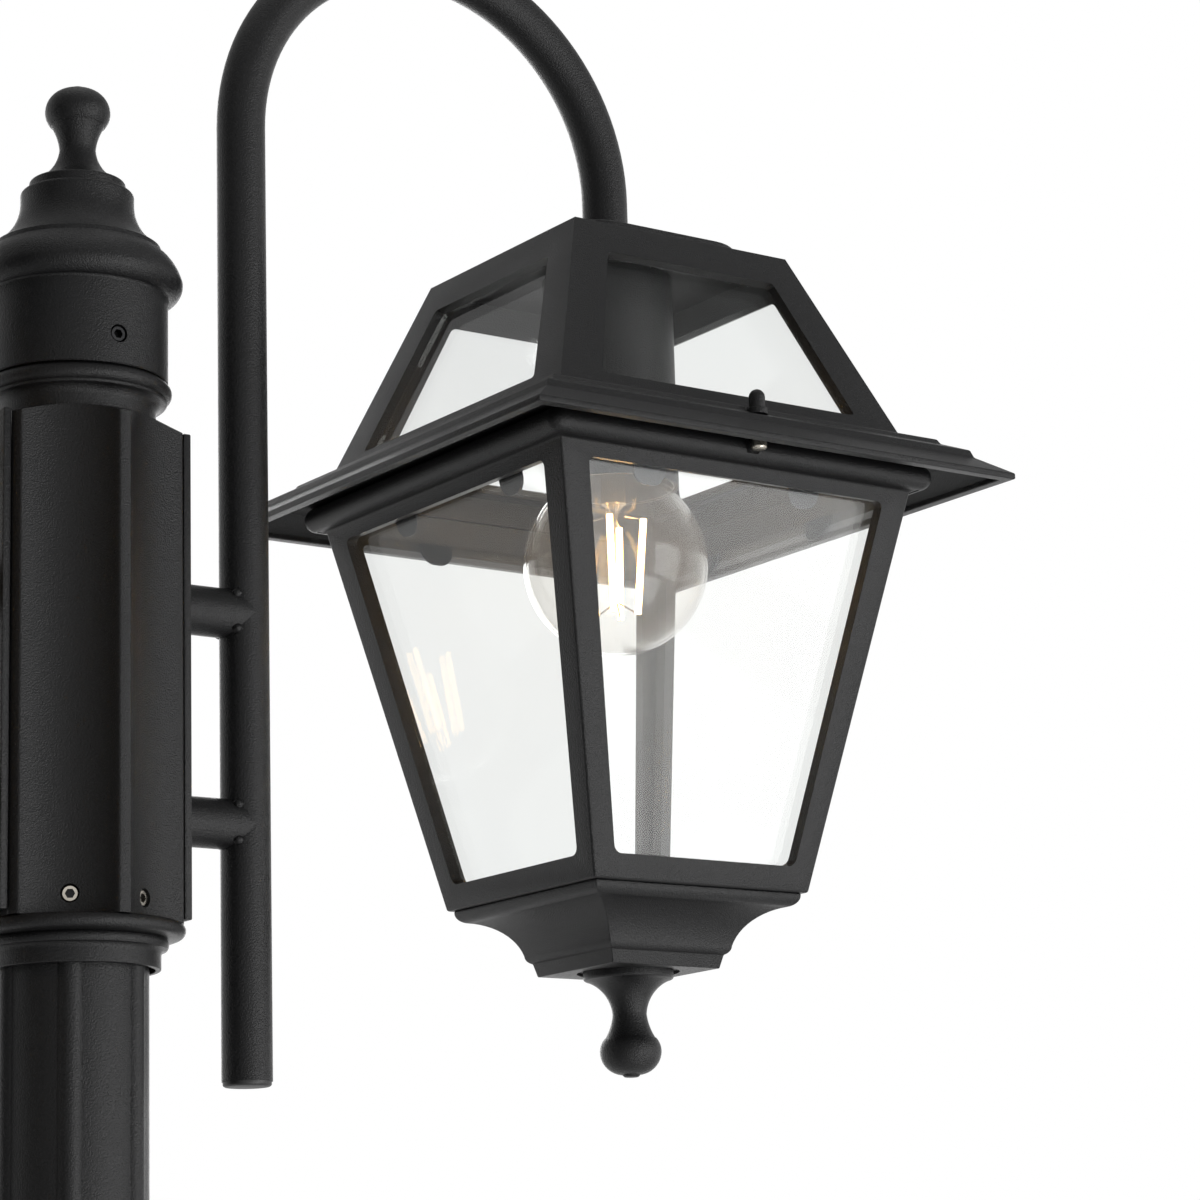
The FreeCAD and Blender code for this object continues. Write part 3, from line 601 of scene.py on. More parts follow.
class Form:
    """A mesh under construction in millimetres, shaped with bmesh operators."""

    def __init__(self) -> None:
        """Start empty."""
        self.mesh = bmesh.new()

    def chain(self, points: list[Vector], closed: bool) -> Edges:
        """Join points with edges.

        Args:
            points: the points in order.
            closed: True to join the last to the first.

        Returns:
            The edges.
        """
        verts = [self.mesh.verts.new(point) for point in points]
        pairs = list(zip(verts, verts[1:]))
        if closed:
            pairs.append((verts[-1], verts[0]))
        return [self.mesh.edges.new(pair) for pair in pairs]

    def spin(self, edges: Edges, centre: Vector, axis: Vector, angle: float, steps: int) -> Edges:
        """Sweep edges about an axis.

        Args:
            edges: the edges to sweep.
            centre: a point of the axis.
            axis: its direction.
            angle: how far to turn; a full turn is closed.
            steps: straight pieces in the turn.

        Returns:
            The edges at the end of the sweep.
        """
        corners = {vert for edge in edges for vert in edge.verts}
        full = math.isclose(abs(angle), math.tau)
        swept = bmesh.ops.spin(self.mesh, geom=[*corners, *edges], cent=centre, axis=axis, dvec=(0, 0, 0), angle=angle,
                               steps=steps, use_merge=full, use_normal_flip=False, use_duplicate=False)
        return [item for item in swept["geom_last"] if isinstance(item, bmesh.types.BMEdge)]

    def extrude(self, edges: Edges, run: Vector) -> Edges:
        """Sweep edges along a straight run and return the far edges."""
        made = bmesh.ops.extrude_edge_only(self.mesh, edges=edges)["geom"]
        verts = [item for item in made if isinstance(item, bmesh.types.BMVert)]
        bmesh.ops.translate(self.mesh, vec=run, verts=verts)
        return [item for item in made if isinstance(item, bmesh.types.BMEdge)
                and all(vert in verts for vert in item.verts)]

    def close(self) -> "Form":
        """Merge seams and poles, and turn every face outwards."""
        bmesh.ops.remove_doubles(self.mesh, verts=self.mesh.verts, dist=MERGE)
        bmesh.ops.dissolve_degenerate(self.mesh, edges=self.mesh.edges, dist=MERGE)
        bmesh.ops.recalc_face_normals(self.mesh, faces=self.mesh.faces)
        self.mesh.normal_update()
        return self

    def fill(self) -> "Form":
        """Close every open rim with a face."""
        rims = [edge for edge in self.mesh.edges if edge.is_boundary]
        bmesh.ops.holes_fill(self.mesh, edges=rims, sides=0)
        return self.close()

    def turned(self, *steps: Step, closed: bool = False, sides: int = 96, parts: int = 6) -> "Form":
        """Turn an outline about Z.

        Args:
            steps: the outline as radius, height and bow.
            closed: True for a ring's section.
            sides: flat pieces in the turn.
            parts: straight pieces in an arc.

        Returns:
            This form.
        """
        points = [Vector((point.x, 0.0, point.y)) for point in bowed(steps, parts)]
        self.spin(self.chain(points, closed), Vector(), AXIS_Z, math.tau, sides)
        return self.close()

    def mitred(self, *steps: Step, closed: bool = False, parts: int = 6) -> "Form":
        """Run an outline round four sides, mitred at the corners.

        Args:
            steps: the outline as half width, height and bow.
            closed: True for a ring's section.
            parts: straight pieces in an arc.

        Returns:
            This form.
        """
        points = [Vector((point.x, -point.x, point.y)) for point in bowed(steps, parts)]
        self.spin(self.chain(points, closed), Vector(), AXIS_Z, math.tau, 4)
        return self.close()

    def band(self, centre: float, *steps: Step, parts: int) -> "Form":
        """Run a ring's section round a square with rounded corners.

        Args:
            centre: distance of each corner's centre from the two middle planes.
            steps: the section as half width, height and bow.
            parts: straight pieces in an arc.

        Returns:
            This form.
        """
        points = [Vector((point.x, -centre, point.y)) for point in bowed(steps, parts)]
        edges = self.chain(points, True)
        for quarter in range(4):
            turn = Matrix.Rotation(quarter * math.pi / 2, 3, "Z")
            edges = self.extrude(edges, turn @ Vector((0.0, 2 * centre, 0.0)))
            edges = self.spin(edges, turn @ Vector((centre, centre, 0.0)), AXIS_Z, math.pi / 2, CORNER_PARTS)
        return self.close()

    def rod(self, radius: float, foot: Vector, head: Vector, sides: int = 32) -> "Form":
        """Add a round bar between two points.

        Args:
            radius: the bar's radius.
            foot: centre of the foot.
            head: centre of the head.
            sides: flat pieces round it.

        Returns:
            This form.
        """
        run = head - foot
        place = Matrix.Translation((foot + head) / 2) @ AXIS_Z.rotation_difference(run).to_matrix().to_4x4()
        bmesh.ops.create_cone(self.mesh, cap_ends=True, cap_tris=False, segments=sides, radius1=radius,
                              radius2=radius, depth=run.length, matrix=place)
        return self

    def block(self, size: Vector, centre: Vector) -> "Form":
        """Add a box of a size about a centre."""
        bmesh.ops.create_cube(self.mesh, size=1.0, matrix=Matrix.Translation(centre) @ Matrix.Diagonal((*size, 1.0)))
        return self

    def blob(self, size: Vector, centre: Vector) -> "Form":
        """Add a rounded drop of metal of a size about a centre."""
        bmesh.ops.create_uvsphere(self.mesh, u_segments=20, v_segments=12, radius=0.5,
                                  matrix=Matrix.Translation(centre) @ Matrix.Diagonal((*size, 1.0)))
        return self

    def moved(self, place: Matrix) -> "Form":
        """Transform the whole form."""
        bmesh.ops.transform(self.mesh, matrix=place, verts=self.mesh.verts)
        return self

    def join(self, other: "Form") -> "Form":
        """Add another form's mesh, and use that form up."""
        carrier = other.baked("carrier")
        self.mesh.from_mesh(carrier)
        bpy.data.meshes.remove(carrier)
        return self

    def soften(self, width: float, bend: float = SOFT_BEND) -> "Form":
        """Round every edge that bends by more than an angle.

        Args:
            width: how far the rounding reaches from the edge.
            bend: the least angle.

        Returns:
            This form.
        """
        bends = [edge for edge in self.mesh.edges if edge.calc_face_angle(0.0) > bend]
        return self.round_edges(bends, width, 2)

    def round_edges(self, edges: Edges, width: float, segments: int = 3) -> "Form":
        """Round chosen edges."""
        bmesh.ops.bevel(self.mesh, geom=edges, offset=width, offset_type="OFFSET", segments=segments, profile=0.5,
                        affect="EDGES", material=-1, clamp_overlap=True)
        return self.close()

    def round_mitres(self, width: float) -> "Form":
        """Round the mitred corners of a four-sided form."""
        def on_diagonal(vert: bmesh.types.BMVert) -> bool:
            """True on the two diagonal planes, away from the axis."""
            return abs(abs(vert.co.x) - abs(vert.co.y)) < DIAGONAL_SLACK and abs(vert.co.x) > 1.0

        mitres = [edge for edge in self.mesh.edges if all(on_diagonal(vert) for vert in edge.verts)
                  and edge.calc_face_angle(0.0) > MITRE_BEND]
        return self.round_edges(mitres, width)

    def windows(self, slope: Slope, window: Window, wall: float) -> "Form":
        """Open the four slanted sides of a mitred form.

        Args:
            slope: the outer slanted side.
            window: the opening.
            wall: thickness of the side.

        Returns:
            This form.
        """
        for quarter in range(4):
            turn = Matrix.Rotation(quarter * math.pi / 2, 3, "Z")
            normal = turn @ slope.normal
            loops: Edges = []
            plane = slope.normal.dot(Vector((slope.foot_half, 0.0, slope.foot)))
            for face in [face for face in self.mesh.faces if abs(face.normal.dot(normal)) > ALIGNED
                         and face.calc_center_median().dot(normal) > 0
                         and min(vert.co.z for vert in face.verts) < window.foot
                         and max(vert.co.z for vert in face.verts) > window.head]:
                depth = wall if plane - face.calc_center_median().dot(normal) > wall / 2 else 0.0
                middle = face.calc_center_median().z
                bmesh.ops.inset_individual(self.mesh, faces=[face], thickness=wall, use_even_offset=True)
                for vert in face.verts:
                    high = vert.co.z > middle
                    height = window.head if high else window.foot
                    half = slope.half(height)
                    wide = half - (window.head_bar if high else window.foot_bar)
                    across = math.copysign(wide, (turn.inverted() @ vert.co).y)
                    vert.co = turn @ Vector((half, across, height)) - normal * depth
                loops += face.edges
                bmesh.ops.delete(self.mesh, geom=[face], context="FACES_ONLY")
            bmesh.ops.bridge_loops(self.mesh, edges=loops)
            corners = [edge for edge in {link for rim in loops for vert in rim.verts for link in vert.link_edges}
                       if abs((edge.verts[0].co - edge.verts[1].co).normalized().dot(normal)) > ALIGNED]
            self.round_edges(corners, window.corner, 4)
        return self.close()

    def baked(self, name: str) -> bpy.types.Mesh:
        """The form as a named mesh of the scene, which uses the form up."""
        mesh = bpy.data.meshes.new(name)
        self.mesh.to_mesh(mesh)
        self.mesh.free()
        return mesh

    def cut(self, tool: "Form") -> "Form":
        """Take another form's volume away, and use that form up."""
        body, blade = [put("trial", form.baked("trial")) for form in (self, tool)]
        saw = body.modifiers.new("saw", "BOOLEAN")
        saw.object = blade
        saw.operation = "DIFFERENCE"
        saw.solver = "EXACT"
        shaped = bpy.data.meshes.new_from_object(body.evaluated_get(bpy.context.evaluated_depsgraph_get()))
        self.mesh = bmesh.new()
        self.mesh.from_mesh(shaped)
        bpy.data.meshes.remove(shaped)
        for item in (body, blade):
            mesh = item.data
            bpy.data.objects.remove(item)
            bpy.data.meshes.remove(mesh)
        return self


class Workshop:
    """Keeps the materials and puts finished pieces in the scene."""

    def __init__(self) -> None:
        """Make every finish's material."""
        self.materials = {slot: finish.material(f"{slot.value}_finish") for slot, finish in FINISHES.items()}

    def add(self, form: Form, name: str, slot: Slot, place: Matrix, node: str = "") -> None:
        """Put a finished piece in the scene.

        Args:
            form: the piece's mesh in millimetres, used up here.
            name: the piece's name.
            slot: the record's material slot.
            place: transform in millimetres to the post's frame.
            node: the solid that the piece stands for, if any.
        """
        form.moved(Matrix.Scale(MILLIMETRE, 4) @ place)
        mesh = form.baked(name)
        mesh.shade_smooth()
        mesh.set_sharp_from_angle(angle=SHARP_BEND)
        mesh.materials.append(self.materials[slot])
        item = put(name, mesh)
        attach(item, "root")
        if node:
            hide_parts(node)
        LOG.info("%s: %d faces", name, len(mesh.polygons))

    def dress(self, node: str, slot: Slot) -> None:
        """Give a solid that stays in view its finish.

        Args:
            node: the solid's name.
            slot: the record's material slot.
        """
        solid = bpy.data.objects[node]
        solid.data.materials.clear()
        solid.data.materials.append(self.materials[slot])
        LOG.info("%s: dressed as %s", node, slot.value)


@dataclass
class Fitting:
    """What the pieces of one side share."""

    workshop: Workshop
    side: Side

    def add(self, form: Form, name: str, slot: Slot, node: str = "", reach: float = LANTERN_REACH,
            seat: Matrix = Matrix()) -> None:
        """Put a finished piece in the scene, named after its side.

        Args:
            form: the piece's mesh in millimetres, used up here.
            name: the piece's name without the side.
            slot: the record's material slot.
            node: the solid that the piece stands for, without the side, if any.
            reach: distance of the piece's axis from the post's axis.
            seat: transform in millimetres to that axis.
        """
        word = self.side.word
        self.workshop.add(form, f"{name}_{word}", slot, self.side.place(reach) @ seat, node and f"{node}_{word}")

    def dress(self, node: str, slot: Slot) -> None:
        """Give a solid of this side that stays in view its finish."""
        self.workshop.dress(f"{node}_{self.side.word}", slot)


@dataclass(frozen=True)
class Finial:
    """Cast knob on a flared neck and disc."""

    disc_radius: float = 14.3
    disc_thick: float = 3.4
    disc_round: float = 0.9
    seat_round: float = 0.4
    flare_radius: float = 13.4
    flare_bow: float = 1.95
    neck_radius: float = 5.4
    neck_height: float = 14.0
    neck_bow: float = 0.48
    crease_radius: float = 8.0
    crease_height: float = 21.7
    crease_step: float = 0.25
    knob_radius: float = 9.7
    knob_height: float = 26.2
    knob_bow: float = 0.45
    dome_height: float = 6.8
    dome_bow: float = 1.8
    nub_radius: float = 2.8
    nub_height: float = 0.8
    nub_bow: float = 0.2
    tip_radius: float = 1.7

    def form(self) -> Form:
        """The knob, seated at height zero."""
        nub_foot = self.knob_height + self.dome_height
        tip = nub_foot + self.nub_height
        return Form().turned(
            (0, 0), (self.disc_radius - self.seat_round, 0),
            (self.disc_radius, self.seat_round, -self.seat_round * QUARTER),
            (self.disc_radius, self.disc_thick - self.disc_round),
            (self.flare_radius, self.disc_thick, -self.disc_round * QUARTER),
            (self.neck_radius, self.neck_height, self.flare_bow),
            (self.crease_radius, self.crease_height, self.neck_bow),
            (self.crease_radius + self.crease_step, self.crease_height),
            (self.knob_radius, self.knob_height, -self.knob_bow), (self.nub_radius, nub_foot, -self.dome_bow),
            (self.tip_radius, tip, -self.nub_bow), (0, tip), parts=12)


@dataclass(frozen=True)
class GrubScrew:
    """Socket set screw that points at the post's axis."""

    radius: float = 2.5
    socket: float = 1.45
    socket_depth: float = 2.4
    # Dark plug of painted shade at the socket's bottom: its gap to the socket's wall and its thickness.
    shade_plug_gap: float = 0.02
    shade_plug_thick: float = 1.0
    recess: float = 0.6
    slip: float = 0.2
    chamfer: float = 0.4
    overshoot: float = 3.0

    def form(self, outer: float, inner: float, height: float, angle: float) -> Form:
        """The screw.

        Args:
            outer: distance of its outer end from the axis.
            inner: distance of its inner end from the axis.
            height: its height.
            angle: its direction about the axis, in degrees.

        Returns:
            The screw's form.
        """
        length = outer - inner
        screw = Form().turned((0, 0), (self.radius, 0), (self.radius, length - self.chamfer),
                              (self.radius - self.chamfer, length), (0, length), sides=32)
        key = Form().rod(self.socket, AXIS_Z * (length - self.socket_depth), AXIS_Z * (length + self.overshoot), 6)
        return screw.cut(key).moved(self.place(inner, height, angle))

    def place(self, inner: float, height: float, angle: float) -> Matrix:
        """Transform from an upright screw to its place in the post."""
        return (Matrix.Rotation(math.radians(angle), 4, "Z") @ Matrix.Translation((inner, 0, height))
                @ Matrix.Rotation(math.pi / 2, 4, "Y"))

    def floor(self, outer: float, inner: float, height: float, angle: float) -> Form:
        """Painted shade: a dark plug at the bottom of the screw's socket that stands in for the shadow there, with the
        same arguments.
        """
        bottom = AXIS_Z * (outer - inner - self.socket_depth)
        form = Form().rod(self.socket - self.shade_plug_gap, bottom, bottom + AXIS_Z * self.shade_plug_thick, 6)
        return form.moved(self.place(inner, height, angle))

    def hole(self, outer: float, inner: float, height: float, angle: float) -> Form:
        """The hole that the screw sits in, with the same arguments."""
        form = Form().rod(self.radius + self.slip, Vector((inner, 0, height)),
                          Vector((outer + self.overshoot, 0, height)))
        return form.moved(Matrix.Rotation(math.radians(angle), 4, "Z"))


@dataclass
class Post:
    """Base, pole, hub, cap and finial."""

    workshop: Workshop
    grub: GrubScrew = GrubScrew()
    panel_radius: float = 21.2
    bead_radius: float = 4.0
    bead_circle: float = 18.8
    pole_wall: float = 2.4
    bead_count: int = 6
    pole_foot: float = 24.0
    pole_head: float = -151.2
    flange_radius: float = 95.0
    flange_thick: float = 9.0
    flange_round: float = 2.7
    sweep_radius: float = 62.7
    sweep_height: float = 11.7
    sweep_bow: float = 12.4
    base_height: float = 120.0
    shoulder_radius: float = 36.0
    shoulder_height: float = 62.0
    base_collar: float = 29.0
    base_swell: float = 2.5
    base_bead_height: float = 7.5
    base_lip_height: float = 5.0
    base_screw_drop: float = 14.0
    base_screw_count: int = 3
    cable_radius: float = 15.0
    bolt_circle: float = 80.0
    bolt_radius: float = 4.5
    bolt_count: int = 4
    rib_radius: float = 31.0
    rib_width: float = 3.6
    rib_round: float = 0.5
    rib_bend: float = math.radians(35.0)
    flute_radius: float = 23.4
    flute_count: int = 6
    barrel_bottom: float = -146.8
    shoulder_top: float = 1.0
    shoulder_drop: float = 3.0
    neck_radius: float = 23.2
    neck_lap: float = 0.3
    neck_height: float = 3.2
    ledge_radius: float = 25.8
    ledge_drop: float = 6.2
    ledge_round: float = 0.4
    collar_cove: float = 0.6
    collar_radius: float = 26.4
    collar_bead: float = 27.9
    collar_bead_height: float = 5.0
    collar_round: float = 0.6
    collar_top: float = 13.0
    foot_bead: float = 31.6
    foot_bead_height: float = 4.2
    foot_bead_bow: float = 1.7
    foot_step: float = 26.3
    foot_step_height: float = 3.2
    foot_step_bow: float = 0.5
    foot_groove: float = 0.4
    foot_cove: float = 1.7
    skirt_round: float = 0.4
    skirt_radius: float = 24.6
    skirt_bottom: float = -160.0
    spigot_radius: float = 18.5
    screw_rise: float = 6.0
    cap_skirt: float = 26.8
    cap_skirt_round: float = 1.0
    cap_brim: float = 31.2
    cap_brim_height: float = 44.2
    cap_brim_drop: float = 5.0
    cap_drop_bow: float = 1.0
    cap_step: float = 25.2
    cap_step_height: float = 53.4
    cap_step_bow: float = 0.95
    cap_ridge_inset: float = 0.4
    cap_ridge_rise: float = 1.4
    cap_cove_bow: float = 2.3
    cap_crown: float = 16.8
    cap_crown_rim: float = 2.6
    cap_crown_round: float = 1.2
    cap_top: float = 72.2
    cap_edge: float = 0.3
    cap_screw_height: float = 22.0
    cap_screw_turn: float = -90.0
    cap_screw_recess: float = 0.5
    hub_spigot_radius: float = 22.4

    def base(self) -> None:
        """Foot casting with its bolt holes."""
        collar_foot = self.base_height - self.base_screw_drop * 2
        socket = self.bead_circle + self.bead_radius + self.grub.slip
        form = Form().turned(
            (self.cable_radius, 0), (self.flange_radius, 0),
            (self.flange_radius, self.flange_thick - self.flange_round),
            (self.flange_radius - self.flange_round, self.flange_thick, -self.flange_round * QUARTER),
            (self.sweep_radius, self.sweep_height), (self.shoulder_radius, self.shoulder_height, self.sweep_bow),
            (self.shoulder_radius, self.shoulder_height + self.base_bead_height, -self.base_swell),
            (self.base_collar, collar_foot, self.base_swell),
            (self.base_collar, self.base_height - self.base_lip_height),
            (self.base_collar, self.base_height, -self.base_swell), (socket, self.base_height),
            (socket, self.pole_foot), (self.cable_radius, self.pole_foot), closed=True, sides=128, parts=14)
        height = self.base_height - self.base_screw_drop
        tools = Form()
        screws = Form()
        for bolt in range(self.bolt_count):
            turn = Matrix.Rotation(math.tau * (bolt + 0.5) / self.bolt_count, 3, "Z")
            spot = turn @ Vector((self.bolt_circle, 0, 0))
            tools.rod(self.bolt_radius, spot - AXIS_Z, spot + AXIS_Z * self.shoulder_height)
        for screw in range(self.base_screw_count):
            angle = 180.0 / self.bead_count + 360.0 * screw / self.base_screw_count
            tools.join(self.grub.hole(self.base_collar, self.panel_radius, height, angle))
            screws.join(self.grub.form(self.base_collar, self.panel_radius, height, angle))
        self.workshop.add(form.cut(tools), "post_base_casting", Slot.COAT, Matrix(), "post_base")
        self.workshop.add(screws, "base_socket_screws", Slot.STEEL, Matrix(), "base_set_screws")

    def pole(self) -> None:
        """Extruded tube with half-round beads."""
        reach = self.panel_radius ** 2 + self.bead_circle ** 2 - self.bead_radius ** 2
        half_bead = math.acos(reach / (2 * self.panel_radius * self.bead_circle))
        half_panel = math.pi / self.bead_count - half_bead
        crest = self.bead_circle + self.bead_radius - self.panel_radius * math.cos(half_bead)
        hollow = self.panel_radius * (1 - math.cos(half_panel))
        steps: list[Step] = []
        for bead in range(self.bead_count + 1):
            middle = math.tau * bead / self.bead_count
            for angle, bow in ((middle - half_bead, -hollow), (middle + half_bead, -crest)):
                steps.append((self.panel_radius * math.cos(angle), self.panel_radius * math.sin(angle), bow))
        points = bowed(steps[:-1], 12)[:-1]
        form = Form()
        outer = form.chain([Vector((point.x, point.y, self.pole_foot)) for point in points], True)
        bore = self.panel_radius - self.pole_wall
        inner = form.chain([Vector((point.x, point.y, 0)).normalized() * bore + AXIS_Z * self.pole_foot
                            for point in points], True)
        rise = AXIS_Z * (BRIM_HEIGHT + self.pole_head - self.pole_foot)
        tops = form.extrude(outer, rise) + form.extrude(inner, rise)
        bmesh.ops.bridge_loops(form.mesh, edges=outer + inner)
        bmesh.ops.bridge_loops(form.mesh, edges=tops)
        self.workshop.add(form.close(), "beaded_pole", Slot.COAT, Matrix(), "pole")

    def barrel(self) -> Form:
        """Flat ribs with a hollow flute between each pair, under a sloping shoulder."""
        step = math.tau / self.flute_count
        steps: list[Step] = []
        for number in range(self.flute_count + 1):
            rib = Vector((math.cos(step * (number - 0.5)), math.sin(step * (number - 0.5))))
            along = Vector((-rib.y, rib.x)) * self.rib_width / 2
            first = rib * self.rib_radius - along
            second = rib * self.rib_radius + along
            flute_bow = first.dot(Vector((math.cos(step * (number - 1)), math.sin(step * (number - 1)))))
            steps.append((*first, flute_bow - self.flute_radius))
            steps.append(tuple(second))
        points = bowed(steps[:-1], 16)[:-1]
        form = Form()
        low = form.chain([Vector((point.x, point.y, self.barrel_bottom)) for point in points], True)
        high = form.extrude(low, AXIS_Z * (self.shoulder_top - self.barrel_bottom))
        fall = self.shoulder_drop / (self.rib_radius - self.neck_radius)
        rim = {vert for edge in high for vert in edge.verts}
        for vert in rim:
            vert.co.z -= max(0.0, vert.co.xy.length - self.neck_radius) * fall
        top = form.extrude(high, Vector())
        for vert in {vert for edge in top for vert in edge.verts}:
            vert.co.xy = vert.co.xy.normalized() * (self.neck_radius - self.neck_lap)
            vert.co.z = self.shoulder_top
        form.fill()
        upright = [edge for edge in form.mesh.edges if edge.calc_face_angle(0.0) > self.rib_bend
                   and abs(edge.verts[0].co.z - edge.verts[1].co.z) > self.rib_radius]
        return form.round_edges(upright, self.rib_round, 2)

    def screw_angles(self) -> list[float]:
        """Directions of the hub's set screws: the flutes that no bracket plate covers."""
        half = self.flute_count // 2
        return [360.0 / self.flute_count * flute for flute in range(self.flute_count) if flute % half]

    def hub(self) -> None:
        """Casting that joins the pole, the cap and the brackets, with its set screws and dark plugs of painted shade
        in their sockets.
        """
        collar = Form().turned(
            (0, self.shoulder_top - self.neck_height), (self.neck_radius, self.shoulder_top - self.neck_height),
            (self.neck_radius, self.shoulder_top + self.neck_height),
            (self.ledge_radius, self.collar_top - self.ledge_drop, self.collar_cove),
            (self.collar_radius, self.collar_top - self.collar_bead_height, -self.ledge_round),
            (self.collar_radius, self.collar_top - self.collar_round, self.collar_radius - self.collar_bead),
            (self.collar_radius - self.collar_round, self.collar_top), (0, self.collar_top), parts=10)
        bead_bottom = self.barrel_bottom - self.foot_bead_height
        step_bottom = bead_bottom - self.foot_step_height
        edge = self.foot_bead - self.foot_bead_bow
        socket = self.bead_circle + self.bead_radius + self.grub.slip
        foot = Form().turned(
            (socket, self.skirt_bottom), (self.skirt_radius - self.skirt_round, self.skirt_bottom),
            (self.skirt_radius, self.skirt_bottom + self.skirt_round, -self.skirt_round * QUARTER),
            (self.skirt_radius, step_bottom - self.foot_cove), (self.foot_step, step_bottom, self.foot_step_bow),
            (self.foot_step, bead_bottom - self.foot_groove, -self.foot_step_bow), (edge, bead_bottom),
            (edge, self.barrel_bottom, -self.foot_bead_bow), (socket, self.barrel_bottom), closed=True, parts=10)
        tools = Form()
        screws = Form()
        # Dark plugs of painted shade, standing in for the shadow at the bottom of each screw's socket.
        socket_shade_plugs = Form()
        height = self.barrel_bottom + self.screw_rise
        screw_end = self.flute_radius - self.grub.recess
        for angle in self.screw_angles():
            tools.join(self.grub.hole(self.flute_radius, self.spigot_radius, height, angle))
            screws.join(self.grub.form(screw_end, self.spigot_radius, height, angle))
            socket_shade_plugs.join(self.grub.floor(screw_end, self.spigot_radius, height, angle))
        form = self.barrel().cut(tools).join(collar).join(foot)
        self.workshop.add(form, "hub_casting", Slot.COAT, HEAD, "hub")
        self.workshop.add(screws, "hub_socket_screws", Slot.STEEL, HEAD, "hub_set_screws")
        # Painted shade: dark plugs at the bottom of the screw sockets.
        self.workshop.add(socket_shade_plugs, "hub_socket_painted_shade", Slot.DARK, HEAD)

    def cap(self) -> None:
        """Turned cap with its grub screw, and the finial on top."""
        brim_under = self.cap_brim_height - self.cap_brim_drop
        form = Form().turned(
            (self.hub_spigot_radius, self.collar_top), (self.cap_skirt - self.cap_edge, self.collar_top),
            (self.cap_skirt, self.collar_top + self.cap_edge), (self.cap_skirt, brim_under - self.cap_skirt_round),
            (self.cap_skirt + self.cap_skirt_round, brim_under, self.cap_skirt_round * QUARTER),
            (self.cap_brim, self.cap_brim_height, -self.cap_drop_bow),
            (self.cap_step, self.cap_step_height, -self.cap_step_bow),
            (self.cap_step - self.cap_ridge_inset, self.cap_step_height + self.cap_ridge_rise),
            (self.cap_crown, self.cap_top - self.cap_crown_rim, self.cap_cove_bow),
            (self.cap_crown, self.cap_top - self.cap_crown_round),
            (self.cap_crown - self.cap_crown_round, self.cap_top, -self.cap_crown_round * QUARTER),
            (0, self.cap_top), (0, self.cap_step_height), (self.hub_spigot_radius, brim_under),
            closed=True, parts=12)
        seat_radius = self.hub_spigot_radius
        hole = self.grub.hole(self.cap_skirt, seat_radius, self.cap_screw_height, self.cap_screw_turn)
        screw = self.grub.form(self.cap_skirt - self.cap_screw_recess, seat_radius, self.cap_screw_height,
                               self.cap_screw_turn)
        self.workshop.add(form.cut(hole), "post_cap_turning", Slot.COAT, HEAD, "post_cap")
        self.workshop.add(screw, "cap_socket_screw", Slot.DARK, HEAD, "cap_grub_screw")
        seat = HEAD @ Matrix.Translation(AXIS_Z * self.cap_top)
        self.workshop.add(Finial().form(), "post_finial_knob", Slot.COAT, seat, "post_finial")

    def build(self) -> None:
        """Make the whole post."""
        self.base()
        self.pole()
        self.hub()
        self.cap()
        self.workshop.dress("pole_spigot", Slot.STEEL)
        self.workshop.dress("terminal_block", Slot.PALE)


